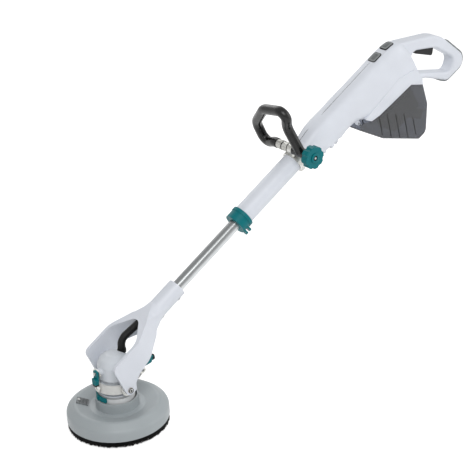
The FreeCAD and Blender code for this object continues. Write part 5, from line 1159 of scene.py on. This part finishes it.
class SANDER_OT_stage(bpy.types.Operator):
    """Makes the floor, the soft light and the camera."""
    bl_idname = "sander.stage"
    bl_label = "Stage"

    def execute(self, context):
        self.floor()
        self.world()
        self.lamps()
        self.camera()
        bpy.context.scene.view_settings.view_transform = "Standard"
        return {"FINISHED"}

    def floor(self):
        """White paper that glows, but only to the camera, in reflections and through glass."""
        form = bmesh.new()
        bmesh.ops.create_grid(form, x_segments=1, y_segments=1, size=FLOOR_HALF_SIZE)
        # just below the pad, so that the two faces don't lie in one plane
        bmesh.ops.translate(form, vec=(0, 0, -0.5 * MM), verts=form.verts)
        floor = add_object("floor", mesh_from(form, "floor"))
        material, add, _ = new_material("floor_white_paper")
        rays = add("ShaderNodeLightPath")
        through = add("ShaderNodeMath", {0: rays.outputs["Is Glossy Ray"],
                                         1: rays.outputs["Is Transmission Ray"]}, operation="ADD")
        seen = add("ShaderNodeMath", {0: rays.outputs["Is Camera Ray"], 1: through},
                   operation="ADD", use_clamp=True)
        paper = add("ShaderNodeBsdfDiffuse", {"Color": opaque(linear("#F4F4F4"))})
        glow = add("ShaderNodeEmission", {"Strength": 0.6})
        lit = add("ShaderNodeAddShader", {0: paper, 1: glow})
        shader = add("ShaderNodeMixShader", {0: seen, 1: paper, 2: lit})
        add("ShaderNodeOutputMaterial", {"Surface": shader})
        floor.data.materials.append(material)

    def world(self):
        """A white world: full to the camera and through glass, less in reflections, and dim as light."""
        world = bpy.data.worlds.new("studio")
        bpy.context.scene.world = world
        world.use_nodes = True
        world.node_tree.nodes.clear()
        add = partial(add_node, world.node_tree)
        rays = add("ShaderNodeLightPath")
        seen = add("ShaderNodeMath", {0: rays.outputs["Is Camera Ray"],
                                      1: rays.outputs["Is Transmission Ray"]}, operation="MAXIMUM")
        sheen = add("ShaderNodeMath", {0: rays.outputs["Is Glossy Ray"], 1: 0.8, 2: seen},
                    operation="MULTIPLY_ADD", use_clamp=True)
        strength = add("ShaderNodeMapRange", {"Value": sheen, "To Min": 0.36, "To Max": 1.0})
        light = add("ShaderNodeBackground", {"Color": (1, 1, 1, 1), "Strength": strength})
        add("ShaderNodeOutputWorld", {"Surface": light})

    def lamps(self):
        """Soft lamps round the middle of the CAD box, aimed at it."""
        centre = (CAD_BOX[0] + CAD_BOX[1]) / 2
        for name, offset, size, power in LAMPS:
            lamp = bpy.data.lights.new(name, "AREA")
            lamp.size = size
            lamp.energy = power
            holder = add_object(name, lamp)
            holder.location = centre + Vector(offset)
            holder.rotation_euler = (-Vector(offset)).to_track_quat("-Z", "Y").to_euler()

    def camera(self):
        """A long lens that looks at its target, turned a little about its own axis."""
        azimuth, elevation, roll = (math.radians(angle) for angle in CAMERA_ANGLES)
        back = Vector((math.sin(azimuth) * math.cos(elevation), -math.cos(azimuth) * math.cos(elevation),
                       math.sin(elevation)))
        right = Vector((math.cos(azimuth), math.sin(azimuth), 0))
        up = back.cross(right)
        turned_right = right * math.cos(roll) - up * math.sin(roll)
        turned_up = right * math.sin(roll) + up * math.cos(roll)
        lens = bpy.data.cameras.new("camera")
        lens.sensor_width = 36
        lens.lens = 109.9
        lens.clip_end = 60
        holder = add_object("camera", lens)
        holder.matrix_world = frame_matrix(Vector(CAMERA_TARGET) + back * CAMERA_DISTANCE, turned_right,
                                           turned_up, back)
        bpy.context.scene.camera = holder


class SANDER_PT_panel(bpy.types.Panel):
    """Lists the sander's steps."""
    bl_label = "Sander"
    bl_space_type = "VIEW_3D"
    bl_region_type = "UI"
    bl_category = "Sander"

    def draw(self, context):
        for operator in OPERATORS:
            self.layout.operator(operator.bl_idname)


OPERATORS = (SANDER_OT_stage, SANDER_OT_finishes, SANDER_OT_brush, SANDER_OT_hose, SANDER_OT_screws,
             SANDER_OT_head, SANDER_OT_handle, SANDER_OT_housing)
CLASSES = (SanderColours, SanderSizes, *OPERATORS, SANDER_PT_panel)


def register():
    """Adds the classes and the scene's settings to Blender."""
    for group in CLASSES:
        bpy.utils.register_class(group)
    bpy.types.Scene.sander_colours = bpy.props.PointerProperty(type=SanderColours)
    bpy.types.Scene.sander_sizes = bpy.props.PointerProperty(type=SanderSizes)


def unregister():
    """Takes the settings and the classes away again."""
    del bpy.types.Scene.sander_colours
    del bpy.types.Scene.sander_sizes
    for group in reversed(CLASSES):
        bpy.utils.unregister_class(group)


def main():
    register()
    for operator in OPERATORS:
        getattr(bpy.ops.sander, operator.bl_idname.split(".")[1])()


if __name__ == "__main__":
    main()
